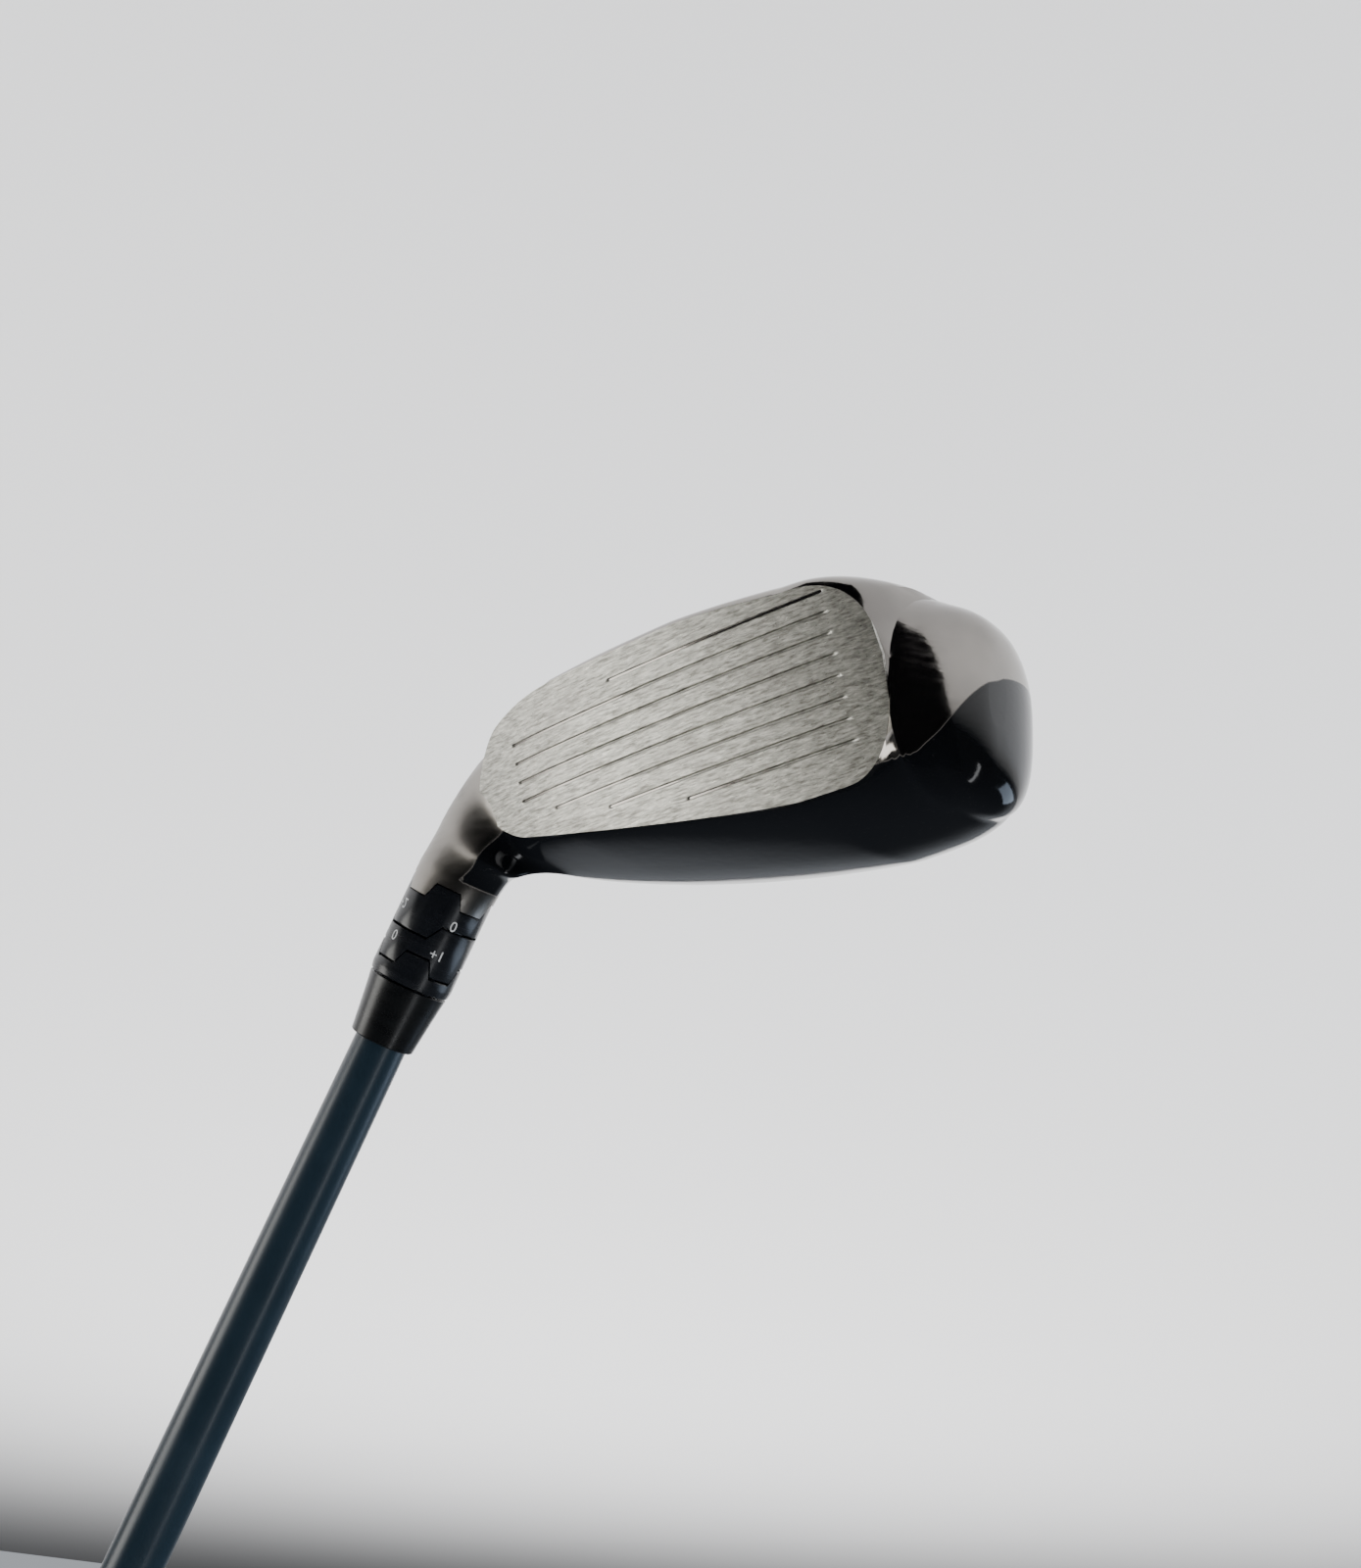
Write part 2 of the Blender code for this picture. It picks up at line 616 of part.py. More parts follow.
def make_adapter():
    insert = [(2.5, 13.4), (3.9, 13.4), (3.9, 23.2), (2.5, 23.2)]
    turned("sleeve_insert", insert, "dark_steel", steps=24)

    def sleeve(angle):
        shoulder = collar_joint(angle) + GAP / 2
        return [
            (4.2, SLEEVE_TIP), (4.9, SLEEVE_TIP), (SLEEVE_R, SLEEVE_TIP + 1.0),
            (SLEEVE_R, shoulder), (COG_R, shoulder), (HOSEL_R, 48.9),
            (7.2, FERRULE_START - GAP / 2), (SLEEVE_BORE_R, FERRULE_START - GAP / 2),
            (SLEEVE_BORE_R, 24.5), (4.2, 23.9),
        ]

    turned("adapter_sleeve", sleeve, "dark_anodised", angles=tab_angles())
    lower = ring_between(hosel_joint, cog_joint, COG_BORE_R, COG_R)
    turned("lower_cog", lower, "dark_anodised", angles=tab_angles())
    upper = ring_between(cog_joint, collar_joint, COG_BORE_R, COG_R)
    turned("upper_cog", upper, "dark_anodised", angles=tab_angles())
    ferrule = [
        (SLEEVE_BORE_R, FERRULE_START + GAP / 2), (7.18, FERRULE_START + GAP / 2),
        (6.75, 54.5), (6.3, 58.0), (FERRULE_END_R, FERRULE_END), (SLEEVE_BORE_R, FERRULE_END),
    ]
    turned("ferrule", ferrule, "black_plastic")


def shaft_radius(station):
    share = min(max((station - TAPER_START) / (TAPER_END - TAPER_START), 0), 1)
    return mix(SHAFT_TIP_R, SHAFT_BUTT_R, share)


def make_shaft():
    stations = (SHAFT_TIP, TAPER_START, 240.0, 410.0, 580.0, TAPER_END, SHAFT_BUTT)
    outside = [(shaft_radius(s), s) for s in stations]
    inside = [(shaft_radius(s) - SHAFT_WALL, s) for s in reversed(stations)]
    turned("shaft", outside + inside, "shaft_lacquer", steps=32)
    plug_r = SHAFT_TIP_R - SHAFT_WALL - GAP
    plug = [(0, 26.0), (plug_r, 26.0), (plug_r, 36.0), (plug_r - 0.6, 37.0), (0, 37.0)]
    turned("tip_plug", plug, "tungsten", steps=20)


def make_grip():
    tape_in, tape_out = SHAFT_BUTT_R + GAP, SHAFT_BUTT_R + GAP + 0.4
    tape = [(tape_in, 740), (tape_out, 740), (tape_out, SHAFT_BUTT), (tape_in, SHAFT_BUTT)]
    turned("grip_tape", tape, "tape", steps=32)
    inner = tape_out + GAP
    stations = (GRIP_START, GRIP_START + 3, 780.0, 840.0, 900.0, 960.0, GRIP_END - 4)
    outside = [
        (mix(GRIP_MOUTH_R, GRIP_BUTT_R, (s - GRIP_START) / (GRIP_END - GRIP_START)), s)
        for s in stations
    ]
    outside[0] = (GRIP_MOUTH_R - 0.6, GRIP_START)
    grip = [(inner, GRIP_START)] + outside + [(GRIP_BUTT_R, GRIP_END), (inner, GRIP_END)]
    turned("grip", grip, "rubber", steps=36)
    base = GRIP_END + GAP
    cap = [
        (1.2, base), (GRIP_BUTT_R, base), (GRIP_BUTT_R + 0.4, base + 1.0),
        (GRIP_BUTT_R - 0.4, base + 3.4), (7.0, base + 4.6), (1.2, base + 4.8),
    ]
    turned("grip_cap", cap, "rubber", steps=36)
    plug_r = SHAFT_BUTT_R - SHAFT_WALL - GAP
    plug = [(0, 984), (plug_r, 984), (plug_r, SHAFT_BUTT + 3), (0, SHAFT_BUTT + 3)]
    turned("butt_plug", plug, "black_plastic", steps=20)


clear_scene()
make_head()
make_weight()
make_screw()
make_adapter()
make_shaft()
make_grip()
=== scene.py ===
"""Looks of the hybrid golf club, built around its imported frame.

Lengths in the constants are millimetres, measured from the foot of the shaft axis: the toe points
to -X, the face to -Y, and the grip rises towards +X. A station "s" is the distance along the shaft
axis from the ground, and (u, v) are distances on the face: u to the toe and v up from the ground.
Angles round the shaft axis are in degrees from the crown's side, growing towards the face.
"""

import math

import bmesh
import bpy
from mathutils import Matrix, Vector


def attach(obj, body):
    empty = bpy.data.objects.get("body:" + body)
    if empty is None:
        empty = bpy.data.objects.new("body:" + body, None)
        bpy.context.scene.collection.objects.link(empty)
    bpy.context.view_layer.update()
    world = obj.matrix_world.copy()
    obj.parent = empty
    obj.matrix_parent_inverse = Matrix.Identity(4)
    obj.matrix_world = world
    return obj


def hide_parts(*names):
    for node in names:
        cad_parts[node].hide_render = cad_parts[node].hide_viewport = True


MM = 0.001

LIE = math.radians(58.6)
LOFT = math.radians(22.1)
HOLD = 866.0  # the hands' place along the shaft axis, where the origin is
AXIS_X, AXIS_Y, AXIS_Z = -HOLD * math.cos(LIE), 0.0, -HOLD * math.sin(LIE)
FACE_SETBACK = 13.5
FACE_BULGE = 0.0017
FACE_CENTRE = (30.0, 18.0)
GAP = 0.3

FACE_TOE_U, FACE_TOE_V = 82.8, 20.0
TOP_LEVEL_U, TOP_CORNER_U, TOP_V = 64.3, 72.0, 36.95
LEADING_V, LEADING_HEEL_U, LEADING_TOE_U, LOW_CORNER_U = 3.6, 21.9, 46.2, 68.0

TOE_U = 91.6
TOE_POLE_Z, TOE_POLE_DEPTH = 20.0, 11.0
BACK_Y, BACK_Z, WIDEST_U = 37.4, 18.0, 56.0
HEEL_SPAN, HEEL_ROUND, TOE_ROUND = 66.0, 2.1, 2.7
CREST_RISE, CREST_DEPTH, CROWN_ROUND = 1.0, 12.6, 2.8
SOLE_DROP, SOLE_DEPTH, SOLE_ROUND = 4.0, 13.0, 2.4
SOLE_CAP_U, SOLE_CAP_ROUND = 52.0, 4.0
CROWN_CAP_U, CROWN_CAP_ROUND = 83.0, 3.4

PIVOT_X, PIVOT_Z = -1.3, 32.5
BLEND_START, BLEND_END = math.radians(2), math.radians(44)
FACE_BLEND_START = math.radians(4)  # the flat of the face runs on further into the neck
NECK_FILL, NECK_END_FILL = 4.2, 2.3  # the crown fills the corner between head and hosel

JOINT_LOW_Z, JOINT_FADE, JOINT_LIP = 13.0, 9.3, 2.0

HOSEL_R, HOSEL_BORE_R = 7.45, 5.7
HOSEL_END, BORE_BOTTOM, SEAT = 34.6, 11.0, 7.0
TAB_CENTRE, TAB_HEIGHT, TAB_HALF_TOP, TAB_HALF_BASE = 37.5, 2.8, 17.5, 27.0
LOBE_CENTRE, LOBE_HEIGHT, LOBE_HALF_TOP, LOBE_HALF_BASE = -17.0, 2.8, 40.0, 54.0
COG_JOINT, COLLAR_START, FERRULE_START, FERRULE_END = 41.2, 47.3, 50.3, 61.4
COG_BORE_R, COG_R, FERRULE_END_R = 5.7, 7.4, 5.8
SLEEVE_R, SLEEVE_BORE_R, SLEEVE_TIP = 5.4, 5.0, 13.0
SHAFT_TIP, SHAFT_TIP_R, SHAFT_BUTT_R, SHAFT_BUTT = 25.0, 4.7, 7.6, 994.0
TAPER_START, TAPER_END, SHAFT_WALL = 61.4, 750.0, 0.6
GRIP_START, GRIP_END, GRIP_MOUTH_R, GRIP_BUTT_R = 732.0, 1000.0, 10.0, 13.4
WEIGHT_U, WEIGHT_Y, PORT_R = 45.0, 18.0, 7.6

# Grooves of the face: heel end of each line along u, from the lowest line up
GROOVE_FIRST_V, GROOVE_PITCH, GROOVE_TOE_U = 7.9, 3.27, 75.7
GROOVE_HEELS = (32.1, 6.4, 6.4, 6.4, 6.4, 14.4, 27.0, 43.6)
GROOVE_DEPTH, GROOVE_HALF = 0.40, 0.30

# Paint on the hosel: its end along the axis, and the angles that it spans
PAINT_END, PAINT_FRONT, PAINT_BACK, PAINT_SWEEP = 29.8, 31.0, -120.0, 2.6

# Fineness of the head's skin: points on face, lip, crown, skirt and sole; then rings
SKIN_COUNTS, UPRIGHT_RINGS, FAN_RINGS, STRAIGHT_RINGS = (12, 8, 30, 20, 10), 90, 40, 10
EASE_FIRST_RING, EASE_LAST_RINGS, EASE_ROUNDS = 78, 8, 40
HEAD_SHARP, FACE_SHARP = math.radians(28), math.radians(28)
WELD = 0.000004  # metres

# Screw hole through the sole, and how far the cutters reach past the metal
SCREW_HEAD_R, SCREW_SHANK_R, PAST = 4.4, 2.6, 8.0
NOTCH_INNER, NOTCH_OUTER, PORT_LOW, PORT_HIGH = 4.5, 9.5, -3.0, 11.0

# Skin of the face: heel end, middle height, lengths of its heel's curves, lift over the head
FACE_SKIN_HEEL_U, FACE_SKIN_MIDDLE_V, FACE_COLUMNS, HEEL_COLUMNS = -5.0, 17.0, 160, 20
LOW_CURVE, HIGH_CURVE, FACE_INSET, FACE_LIFT = 8.0, 11.0, 0.05, 0.03
FACE_FOLD = Vector((0, 0.5, -0.1))
LOW_ROWS, TOP_ROWS = (2.5, 3.2, 4.0, 4.8, 5.6, 6.4), (33.4, 34.2, 35.0, 35.8, 36.4, 37.2)
GROOVE_ROWS = (-0.9, -0.5, -0.30, -0.2, -0.10, 0, 0.10, 0.2, 0.30, 0.5, 0.9)

# Numbers painted on the rings: text and angle round the axis, with station and height
LOWER_MARKS = {"+2": 100, "0": 10, "-1": 190, "+1": 280}
UPPER_MARKS = {"0": 84, "+1": 14, "-1": 194, "+2": 264}
LOWER_MARK_S, UPPER_MARK_S, MARK_HEIGHT, MARK_THICK = 37.4, 43.0, 2.6, 0.01

# Stage: its foot in millimetres, then in metres the floor, the black card and the sky
STAGE_FOOT = Vector((AXIS_X + 33.0, AXIS_Y + 1.0, AXIS_Z))
FLOOR_HALF, FLOOR_DROP = 8.0, 0.35
FLAG_SHIFT = Vector((-50.0, 0.0, 20.0))
FLAG_FROM, FLAG_TO, FLAG_STEP, FLAG_REACH, FLAG_INNER = -156, -57, 6, 0.6, 0.2
FLAG_LOW, FLAG_HIGH = -0.32, 0.75
SKY_COLOUR, SKY_STRENGTH, SKY_GLOW = (0.88, 0.93, 1.0, 1.0), 0.035, 0.40

# Lamps: place, target, size, power, colour, seen in reflections
LAMPS = {
    "wash_near": ((0.0, 0.0, 2.2), (0.3, 0.3, 0.0), (2.6, 2.6), 78.0, (1, 1, 1), False),
    "wash_far": ((2.2, 2.0, 2.2), (2.2, 2.0, 0.0), (3.2, 3.2), 240.0, (1, 1, 1), False),
    "panel_face": ((0.75, -0.95, 0.20), (0.0, 0.0, 0.02), (0.50, 0.70), 5.5, (1.0, 0.99, 0.95), True),
    "panel_back": ((-0.5, 1.3, 0.34), (0.0, 0.0, 0.02), (0.8, 0.5), 3.2, (0.66, 0.80, 1.0), True),
    "strip_side": ((-0.9, 0.1, 0.75), (0.05, 0.0, 0.05), (0.12, 0.9), 1.2, (0.95, 0.97, 1.0), True),
}

# Camera, fitted to the view: distances from the foot of the shaft axis
CAMERA_AT = (-239.77, -180.47, 157.2)
CAMERA_RIGHT = (-0.6956, 0.7147, -0.0731)
CAMERA_UP = (-0.2730, -0.3571, -0.8933)
CAMERA_BACK = (-0.6645, -0.6014, 0.4436)
CAMERA_LENS = 43.93

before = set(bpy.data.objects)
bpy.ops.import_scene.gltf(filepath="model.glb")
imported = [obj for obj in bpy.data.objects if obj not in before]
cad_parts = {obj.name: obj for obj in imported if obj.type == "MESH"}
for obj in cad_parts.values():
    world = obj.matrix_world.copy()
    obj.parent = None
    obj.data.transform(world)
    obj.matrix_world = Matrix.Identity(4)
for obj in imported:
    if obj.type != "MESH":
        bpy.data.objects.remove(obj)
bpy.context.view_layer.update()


# ---------------------------------------------------------------- materials


class Paint:
    """Short way to build one node material."""

    def __init__(self, name, metallic=0.0, specular=0.5, anisotropic=0.0):
        self.material = bpy.data.materials.new(name)
        self.material.use_nodes = True
        self.tree = self.material.node_tree
        self.shader = self.tree.nodes["Principled BSDF"]
        self.shader.inputs["Metallic"].default_value = metallic
        self.shader.inputs["Specular IOR Level"].default_value = specular
        self.shader.inputs["Anisotropic"].default_value = anisotropic
        self.coords = self.tree.nodes.new("ShaderNodeTexCoord").outputs["Object"]
        self.height = None

    def set(self, socket, value):
        """Give a socket a number, a colour, or another node's output."""
        if isinstance(value, (int, float, tuple)):
            if isinstance(value, tuple) and len(value) == 3 and socket.type == "RGBA":
                value = (*value, 1.0)
            socket.default_value = value
        else:
            self.tree.links.new(value, socket)

    def texture(self, kind, scale, stretch):
        """Texture over the piece; `stretch` above 1 packs it tighter along that axis."""
        mapping = self.tree.nodes.new("ShaderNodeMapping")
        mapping.inputs["Scale"].default_value = stretch
        self.tree.links.new(self.coords, mapping.inputs["Vector"])
        node = self.tree.nodes.new(kind)
        node.inputs["Scale"].default_value = scale
        self.tree.links.new(mapping.outputs["Vector"], node.inputs["Vector"])
        return node

    def noise(self, scale, detail=3.0, stretch=(1, 1, 1), rough=0.5):
        node = self.texture("ShaderNodeTexNoise", scale, stretch)
        node.inputs["Detail"].default_value = detail
        node.inputs["Roughness"].default_value = rough
        return node.outputs["Fac"]

    def cells(self, scale, stretch=(1, 1, 1)):
        """Distance to the nearest of some scattered points."""
        return self.texture("ShaderNodeTexVoronoi", scale, stretch).outputs["Distance"]

    def attribute(self, name):
        node = self.tree.nodes.new("ShaderNodeAttribute")
        node.attribute_name = name
        return node.outputs["Fac"]

    def span(self, value, low, high, out_low=0.0, out_high=1.0):
        """Straight ramp of a value, held at both ends."""
        node = self.tree.nodes.new("ShaderNodeMapRange")
        node.clamp = True
        self.tree.links.new(value, node.inputs["Value"])
        node.inputs["From Min"].default_value = low
        node.inputs["From Max"].default_value = high
        node.inputs["To Min"].default_value = out_low
        node.inputs["To Max"].default_value = out_high
        return node.outputs["Result"]

    def math(self, operation, a, b=0.0):
        node = self.tree.nodes.new("ShaderNodeMath")
        node.operation = operation
        self.set(node.inputs[0], a)
        self.set(node.inputs[1], b)
        return node.outputs["Value"]

    def blend(self, share, a, b):
        """Colour a where share is 0 and b where it is 1."""
        node = self.tree.nodes.new("ShaderNodeMix")
        node.data_type = "RGBA"
        self.set(node.inputs["Factor"], share)
        first, second, result = 6, 7, 2  # the colour sockets share their names with others
        self.set(node.inputs[first], a)
        self.set(node.inputs[second], b)
        return node.outputs[result]

    def bump(self, height, distance):
        """Raise the surface by up to `distance` metres, on top of any earlier bump."""
        node = self.tree.nodes.new("ShaderNodeBump")
        node.inputs["Distance"].default_value = distance
        self.tree.links.new(height, node.inputs["Height"])
        if self.height is not None:
            self.tree.links.new(self.height, node.inputs["Normal"])
        self.height = node.outputs["Normal"]
        self.tree.links.new(self.height, self.shader.inputs["Normal"])

    def colour(self, value):
        self.set(self.shader.inputs["Base Color"], value)

    def roughness(self, value):
        self.set(self.shader.inputs["Roughness"], value)

    def metallic(self, value):
        self.set(self.shader.inputs["Metallic"], value)


def head_material():
    """Smoky polished steel below the paint line, gloss black lacquer above it."""
    p = Paint("head_steel_and_lacquer")
    painted = p.span(p.attribute("paint"), -0.12, 0.12)
    haze = p.noise(38, 4.0)
    stain = p.span(p.noise(95, 5.0, (1, 1, 1), 0.62), 0.56, 0.72)
    streak = p.noise(420, 3.0, (0.35, 1.0, 3.0))
    steel = p.blend(p.span(haze, 0.35, 0.7), (0.33, 0.31, 0.285), (0.20, 0.188, 0.175))
    steel = p.blend(p.math("MULTIPLY", stain, 0.45), steel, (0.20, 0.19, 0.18))
    dust = p.span(p.cells(700), 0.0, 0.10, 1.0, 0.0)
    dust = p.math("MULTIPLY", dust, p.span(p.noise(60, 2.0), 0.52, 0.68))
    black = p.blend(p.math("MULTIPLY", dust, 0.25), (0.003, 0.0035, 0.0045), (0.08, 0.08, 0.08))
    p.colour(p.blend(painted, steel, black))
    bare = p.math("SUBTRACT", 1.0, painted)
    polish = p.span(streak, 0.3, 0.75, 0.07, 0.17)
    steel_rough = p.math("ADD", polish, p.math("MULTIPLY", stain, 0.12))
    paint_rough = p.span(haze, 0.3, 0.75, 0.07, 0.14)
    mixed = p.math(
        "ADD", p.math("MULTIPLY", steel_rough, bare), p.math("MULTIPLY", paint_rough, painted)
    )
    neck = p.math("MULTIPLY", p.attribute("neck"), bare)
    p.roughness(p.math("ADD", mixed, p.math("MULTIPLY", neck, 0.24)))
    p.metallic(bare)
    p.bump(p.noise(900, 2.0, (0.5, 1, 2)), 0.000012)
    p.bump(p.noise(180, 2.0), 0.00002)
    return p.material


def face_material():
    """Steel brushed nearly along the grooves, stained, with dark dirt in the grooves' heel ends and a
    painted shade along the grooves.
    """
    p = Paint("face_brushed_steel", metallic=1.0, anisotropic=0.3)
    grain = p.noise(330, 5.0, (1.0, 7.0, 8.0), 0.72)
    fine = p.noise(420, 3.0, (1.0, 14.0, 16.0), 0.6)
    blotch = p.noise(55, 5.0, (1.0, 1.0, 1.4), 0.6)
    steel = p.blend(p.span(grain, 0.36, 0.64), (0.66, 0.65, 0.595), (0.22, 0.215, 0.19))
    steel = p.blend(p.span(blotch, 0.52, 0.75, 0.0, 0.45), steel, (0.27, 0.255, 0.235))
    dings = p.span(p.cells(330, (0.6, 1.0, 1.0)), 0.0, 0.16, 1.0, 0.0)
    dings = p.math("MULTIPLY", dings, p.span(p.noise(45, 2.0), 0.56, 0.66))
    steel = p.blend(p.math("MULTIPLY", dings, 0.6), steel, (0.75, 0.73, 0.70))
    # Darkens the grooves: real dirt at their heel ends, and painted shade along their recesses that
    # is deepest at the groove's bottom.
    dirt_and_painted_shade = p.attribute("dirt_and_painted_shade")
    p.colour(p.blend(dirt_and_painted_shade, steel, (0.035, 0.032, 0.028)))
    brushing = p.span(fine, 0.3, 0.7, 0.26, 0.42)
    p.roughness(p.math("ADD", brushing, p.math("MULTIPLY", dirt_and_painted_shade, 0.3)))
    p.bump(grain, 0.00007)
    p.bump(dings, 0.00002)
    return p.material


def anodised_material(name, colour, rough, ring_scale):
    """Turned and anodised: rings round the axis, faint wear."""
    p = Paint(name)
    rings = p.noise(ring_scale, 2.0, (0.2, 0.2, 1.0))
    wear = p.span(p.noise(260, 4.0, (1, 1, 1), 0.6), 0.60, 0.78)
    paler = tuple(min(1.0, c * 1.7 + 0.006) for c in colour)
    base = p.blend(p.span(rings, 0.3, 0.7), colour, tuple(c * 1.25 for c in colour))
    p.colour(p.blend(p.math("MULTIPLY", wear, 0.25), base, paler))
    p.roughness(p.span(rings, 0.3, 0.7, rough - 0.02, rough + 0.03))
    p.bump(rings, 0.000003)
    return p.material


def plain_metal(name, colour, rough):
    """Machined metal with darker patches."""
    p = Paint(name, metallic=1.0)
    patch = p.noise(300, 4.0, (1, 1, 1), 0.6)
    p.colour(p.blend(p.span(patch, 0.35, 0.7), colour, tuple(c * 0.65 for c in colour)))
    p.roughness(p.span(patch, 0.3, 0.7, rough - 0.06, rough + 0.1))
    p.bump(p.noise(1500, 2.0), 0.00002)
    return p.material


def rubber_material(name, patterned):
    """Worn black rubber, with small raised cells where it is patterned."""
    p = Paint(name, specular=0.35)
    speckle = p.noise(1600, 2.0)
    worn = p.span(p.noise(25, 4.0, (1, 1, 0.5), 0.6), 0.45, 0.75)
    dark = p.blend(p.span(speckle, 0.3, 0.7), (0.014, 0.014, 0.015), (0.028, 0.028, 0.03))
    p.colour(p.blend(p.math("MULTIPLY", worn, 0.6), dark, (0.05, 0.049, 0.047)))
    p.roughness(p.span(worn, 0.0, 1.0, 0.72, 0.55))
    p.bump(speckle, 0.00008)
    if patterned:
        p.bump(p.span(p.cells(420, (1, 1, 0.6)), 0.15, 0.45), 0.00018)
    return p.material


def tape_material():
    """Fibrous paper tape."""
    p = Paint("grip_tape_paper", specular=0.2)
    fibre = p.noise(700, 3.0, (1, 1, 0.3))
    p.colour(p.blend(fibre, (0.72, 0.68, 0.56), (0.60, 0.56, 0.46)))
    p.roughness(p.span(fibre, 0.3, 0.7, 0.75, 0.9))
    p.bump(fibre, 0.00005)
    return p.material


def mark_material():
    """Chipped pale paint."""
    p = Paint("mark_paint", specular=0.4)
    chipped = p.noise(900, 3.0)
    p.colour(p.blend(p.span(chipped, 0.4, 0.75), (0.66, 0.67, 0.68), (0.42, 0.43, 0.44)))
    p.roughness(p.span(chipped, 0.3, 0.7, 0.35, 0.5))
    return p.material


# ---------------------------------------------------------------- geometry helpers


def linked(name, data):
    """New object in the scene."""
    piece = bpy.data.objects.new(name, data)
    bpy.context.scene.collection.objects.link(piece)
    return piece


def shade(mesh, sharp):
    mesh.shade_smooth()
    mesh.set_sharp_from_angle(angle=sharp)


def mesh_object(name, points, faces, material=None, sharp=math.radians(30)):
    """Closed piece from points in metres, facing outwards."""
    mesh = bpy.data.meshes.new(name)
    mesh.from_pydata(points, [], faces)
    work = bmesh.new()
    work.from_mesh(mesh)
    bmesh.ops.remove_doubles(work, verts=work.verts, dist=WELD)
    bmesh.ops.recalc_face_normals(work, faces=work.faces)
    if work.calc_volume(signed=True) < 0:
        bmesh.ops.reverse_faces(work, faces=work.faces)
    work.to_mesh(mesh)
    work.free()
    shade(mesh, sharp)
    if material:
        mesh.materials.append(material)
    return linked(name, mesh)


def axis_frame():
    """Matrix whose Z runs up the shaft axis and whose X points over the crown."""
    up = Vector((math.cos(LIE), 0, math.sin(LIE)))
    over = Vector((-math.sin(LIE), 0, math.cos(LIE)))
    front = up.cross(over)
    turn = Matrix((over, front, up)).transposed().to_4x4()
    return Matrix.Translation((AXIS_X * MM, AXIS_Y * MM, AXIS_Z * MM)) @ turn


def turned(name, profile, material=None, angles=None, steps=96, place=None):
    """Turn a closed (radius, station) outline, or one that depends on the angle in degrees."""
    angles = angles or [360.0 * step / steps for step in range(steps)]
    outlines = [profile(a) if callable(profile) else profile for a in angles]
    points, faces = [], []
    for angle, outline in zip(angles, outlines):
        c, s = math.cos(math.radians(angle)), math.sin(math.radians(angle))
        points += [(r * c * MM, r * s * MM, z * MM) for r, z in outline]
    count, rings = len(outlines[0]), len(angles)
    closed = outlines[0][0][0] > 0
    for ring in range(rings):
        here, there = ring * count, (ring + 1) % rings * count
        for k in range(count if closed else count - 1):
            m = (k + 1) % count
            if outlines[0][k][0] == 0:
                faces.append((here + k, here + m, there + m))
            elif outlines[0][m][0] == 0:
                faces.append((here + k, here + m, there + k))
            else:
                faces.append((here + k, here + m, there + m, there + k))
    piece = mesh_object(name, points, faces, material)
    piece.matrix_world = place or axis_frame()
    return piece


def tab_fraction(angle, centre, spacing, half_top, half_base):
    """1 on a tab of a toothed joint, 0 between the tabs, with straight flanks."""
    off = abs((angle - centre + spacing / 2) % spacing - spacing / 2)
    return min(1.0, max(0.0, (half_base - off) / (half_base - half_top)))


def four_tabs(angle):
    return tab_fraction(angle, TAB_CENTRE, 90.0, TAB_HALF_TOP, TAB_HALF_BASE)


def two_lobes(angle):
    return tab_fraction(angle, LOBE_CENTRE, 180.0, LOBE_HALF_TOP, LOBE_HALF_BASE)


def tab_angles():
    """Every corner of the tabs and lobes, and points close together between them."""
    corners = set()
    for quarter in range(4):
        for half in (TAB_HALF_TOP, TAB_HALF_BASE):
            corners |= {(TAB_CENTRE + 90 * quarter + side * half) % 360 for side in (-1, 1)}
    for turn in range(2):
        for half in (LOBE_HALF_TOP, LOBE_HALF_BASE):
            corners |= {(LOBE_CENTRE + 180 * turn + side * half) % 360 for side in (-1, 1)}
    angles = sorted(corners)
    spaced = []
    for here, there in zip(angles, angles[1:] + [angles[0] + 360]):
        parts = max(1, round((there - here) / 3))
        spaced += [here + (there - here) * part / parts for part in range(parts)]
    return spaced


def hosel_joint(angle):
    """Station of the hosel's upper edge."""
    return HOSEL_END - TAB_HEIGHT * four_tabs(angle)


def cog_joint(angle):
    return COG_JOINT - LOBE_HEIGHT * two_lobes(angle)


def collar_joint(angle):
    return COLLAR_START - TAB_HEIGHT * four_tabs(angle)


def ring_between(lower, upper, inner, outer, chamfer=0.22):
    """Ring outline whose ends follow two joints, with its outer edges broken."""

    def outline(angle):
        low, high = lower(angle) + GAP / 2, upper(angle) - GAP / 2
        return [
            (inner, low), (outer - chamfer, low), (outer - 0.06, low + 0.07),
            (outer, low + chamfer), (outer, high - chamfer), (outer - 0.06, high - 0.07),
            (outer - chamfer, high), (inner, high),
        ]

    return outline


# ---------------------------------------------------------------- head surface


def mix(a, b, share):
    """a where share is 0, b where it is 1."""
    return a + (b - a) * share


def top_line(u):
    """Upper edge of the face."""
    return TOP_V - 0.0727 * max(TOP_LEVEL_U - u, 0) ** 1.21


def leading_line(u):
    """Lower edge of the face."""
    heel = 0.0014 * max(LEADING_HEEL_U - u, 0) ** 2.6
    toe = 0.021 * max(u - LEADING_TOE_U, 0) ** 1.51
    return LEADING_V + heel + toe


def rounded(fraction, power):
    """Falls from 1 to 0 along a rounded quarter."""
    fraction = min(max(fraction, 0.0), 1.0)
    return (1 - fraction**power) ** (1 / power)


def face_top(u):
    if u <= TOP_CORNER_U:
        return top_line(u)
    share = (u - TOP_CORNER_U) / (FACE_TOE_U - TOP_CORNER_U)
    return FACE_TOE_V + (TOP_V - FACE_TOE_V) * rounded(share, 2.2)


def face_bottom(u):
    if u <= LOW_CORNER_U:
        return leading_line(u)
    share = (u - LOW_CORNER_U) / (FACE_TOE_U - LOW_CORNER_U)
    return FACE_TOE_V - (FACE_TOE_V - leading_line(LOW_CORNER_U)) * rounded(share, 2.4)


def bulge(u, v):
    return FACE_BULGE * ((u - FACE_CENTRE[0]) ** 2 + (v - FACE_CENTRE[1]) ** 2)


def face_z(u, v):
    return v * math.cos(LOFT) - bulge(u, v) * math.sin(LOFT)


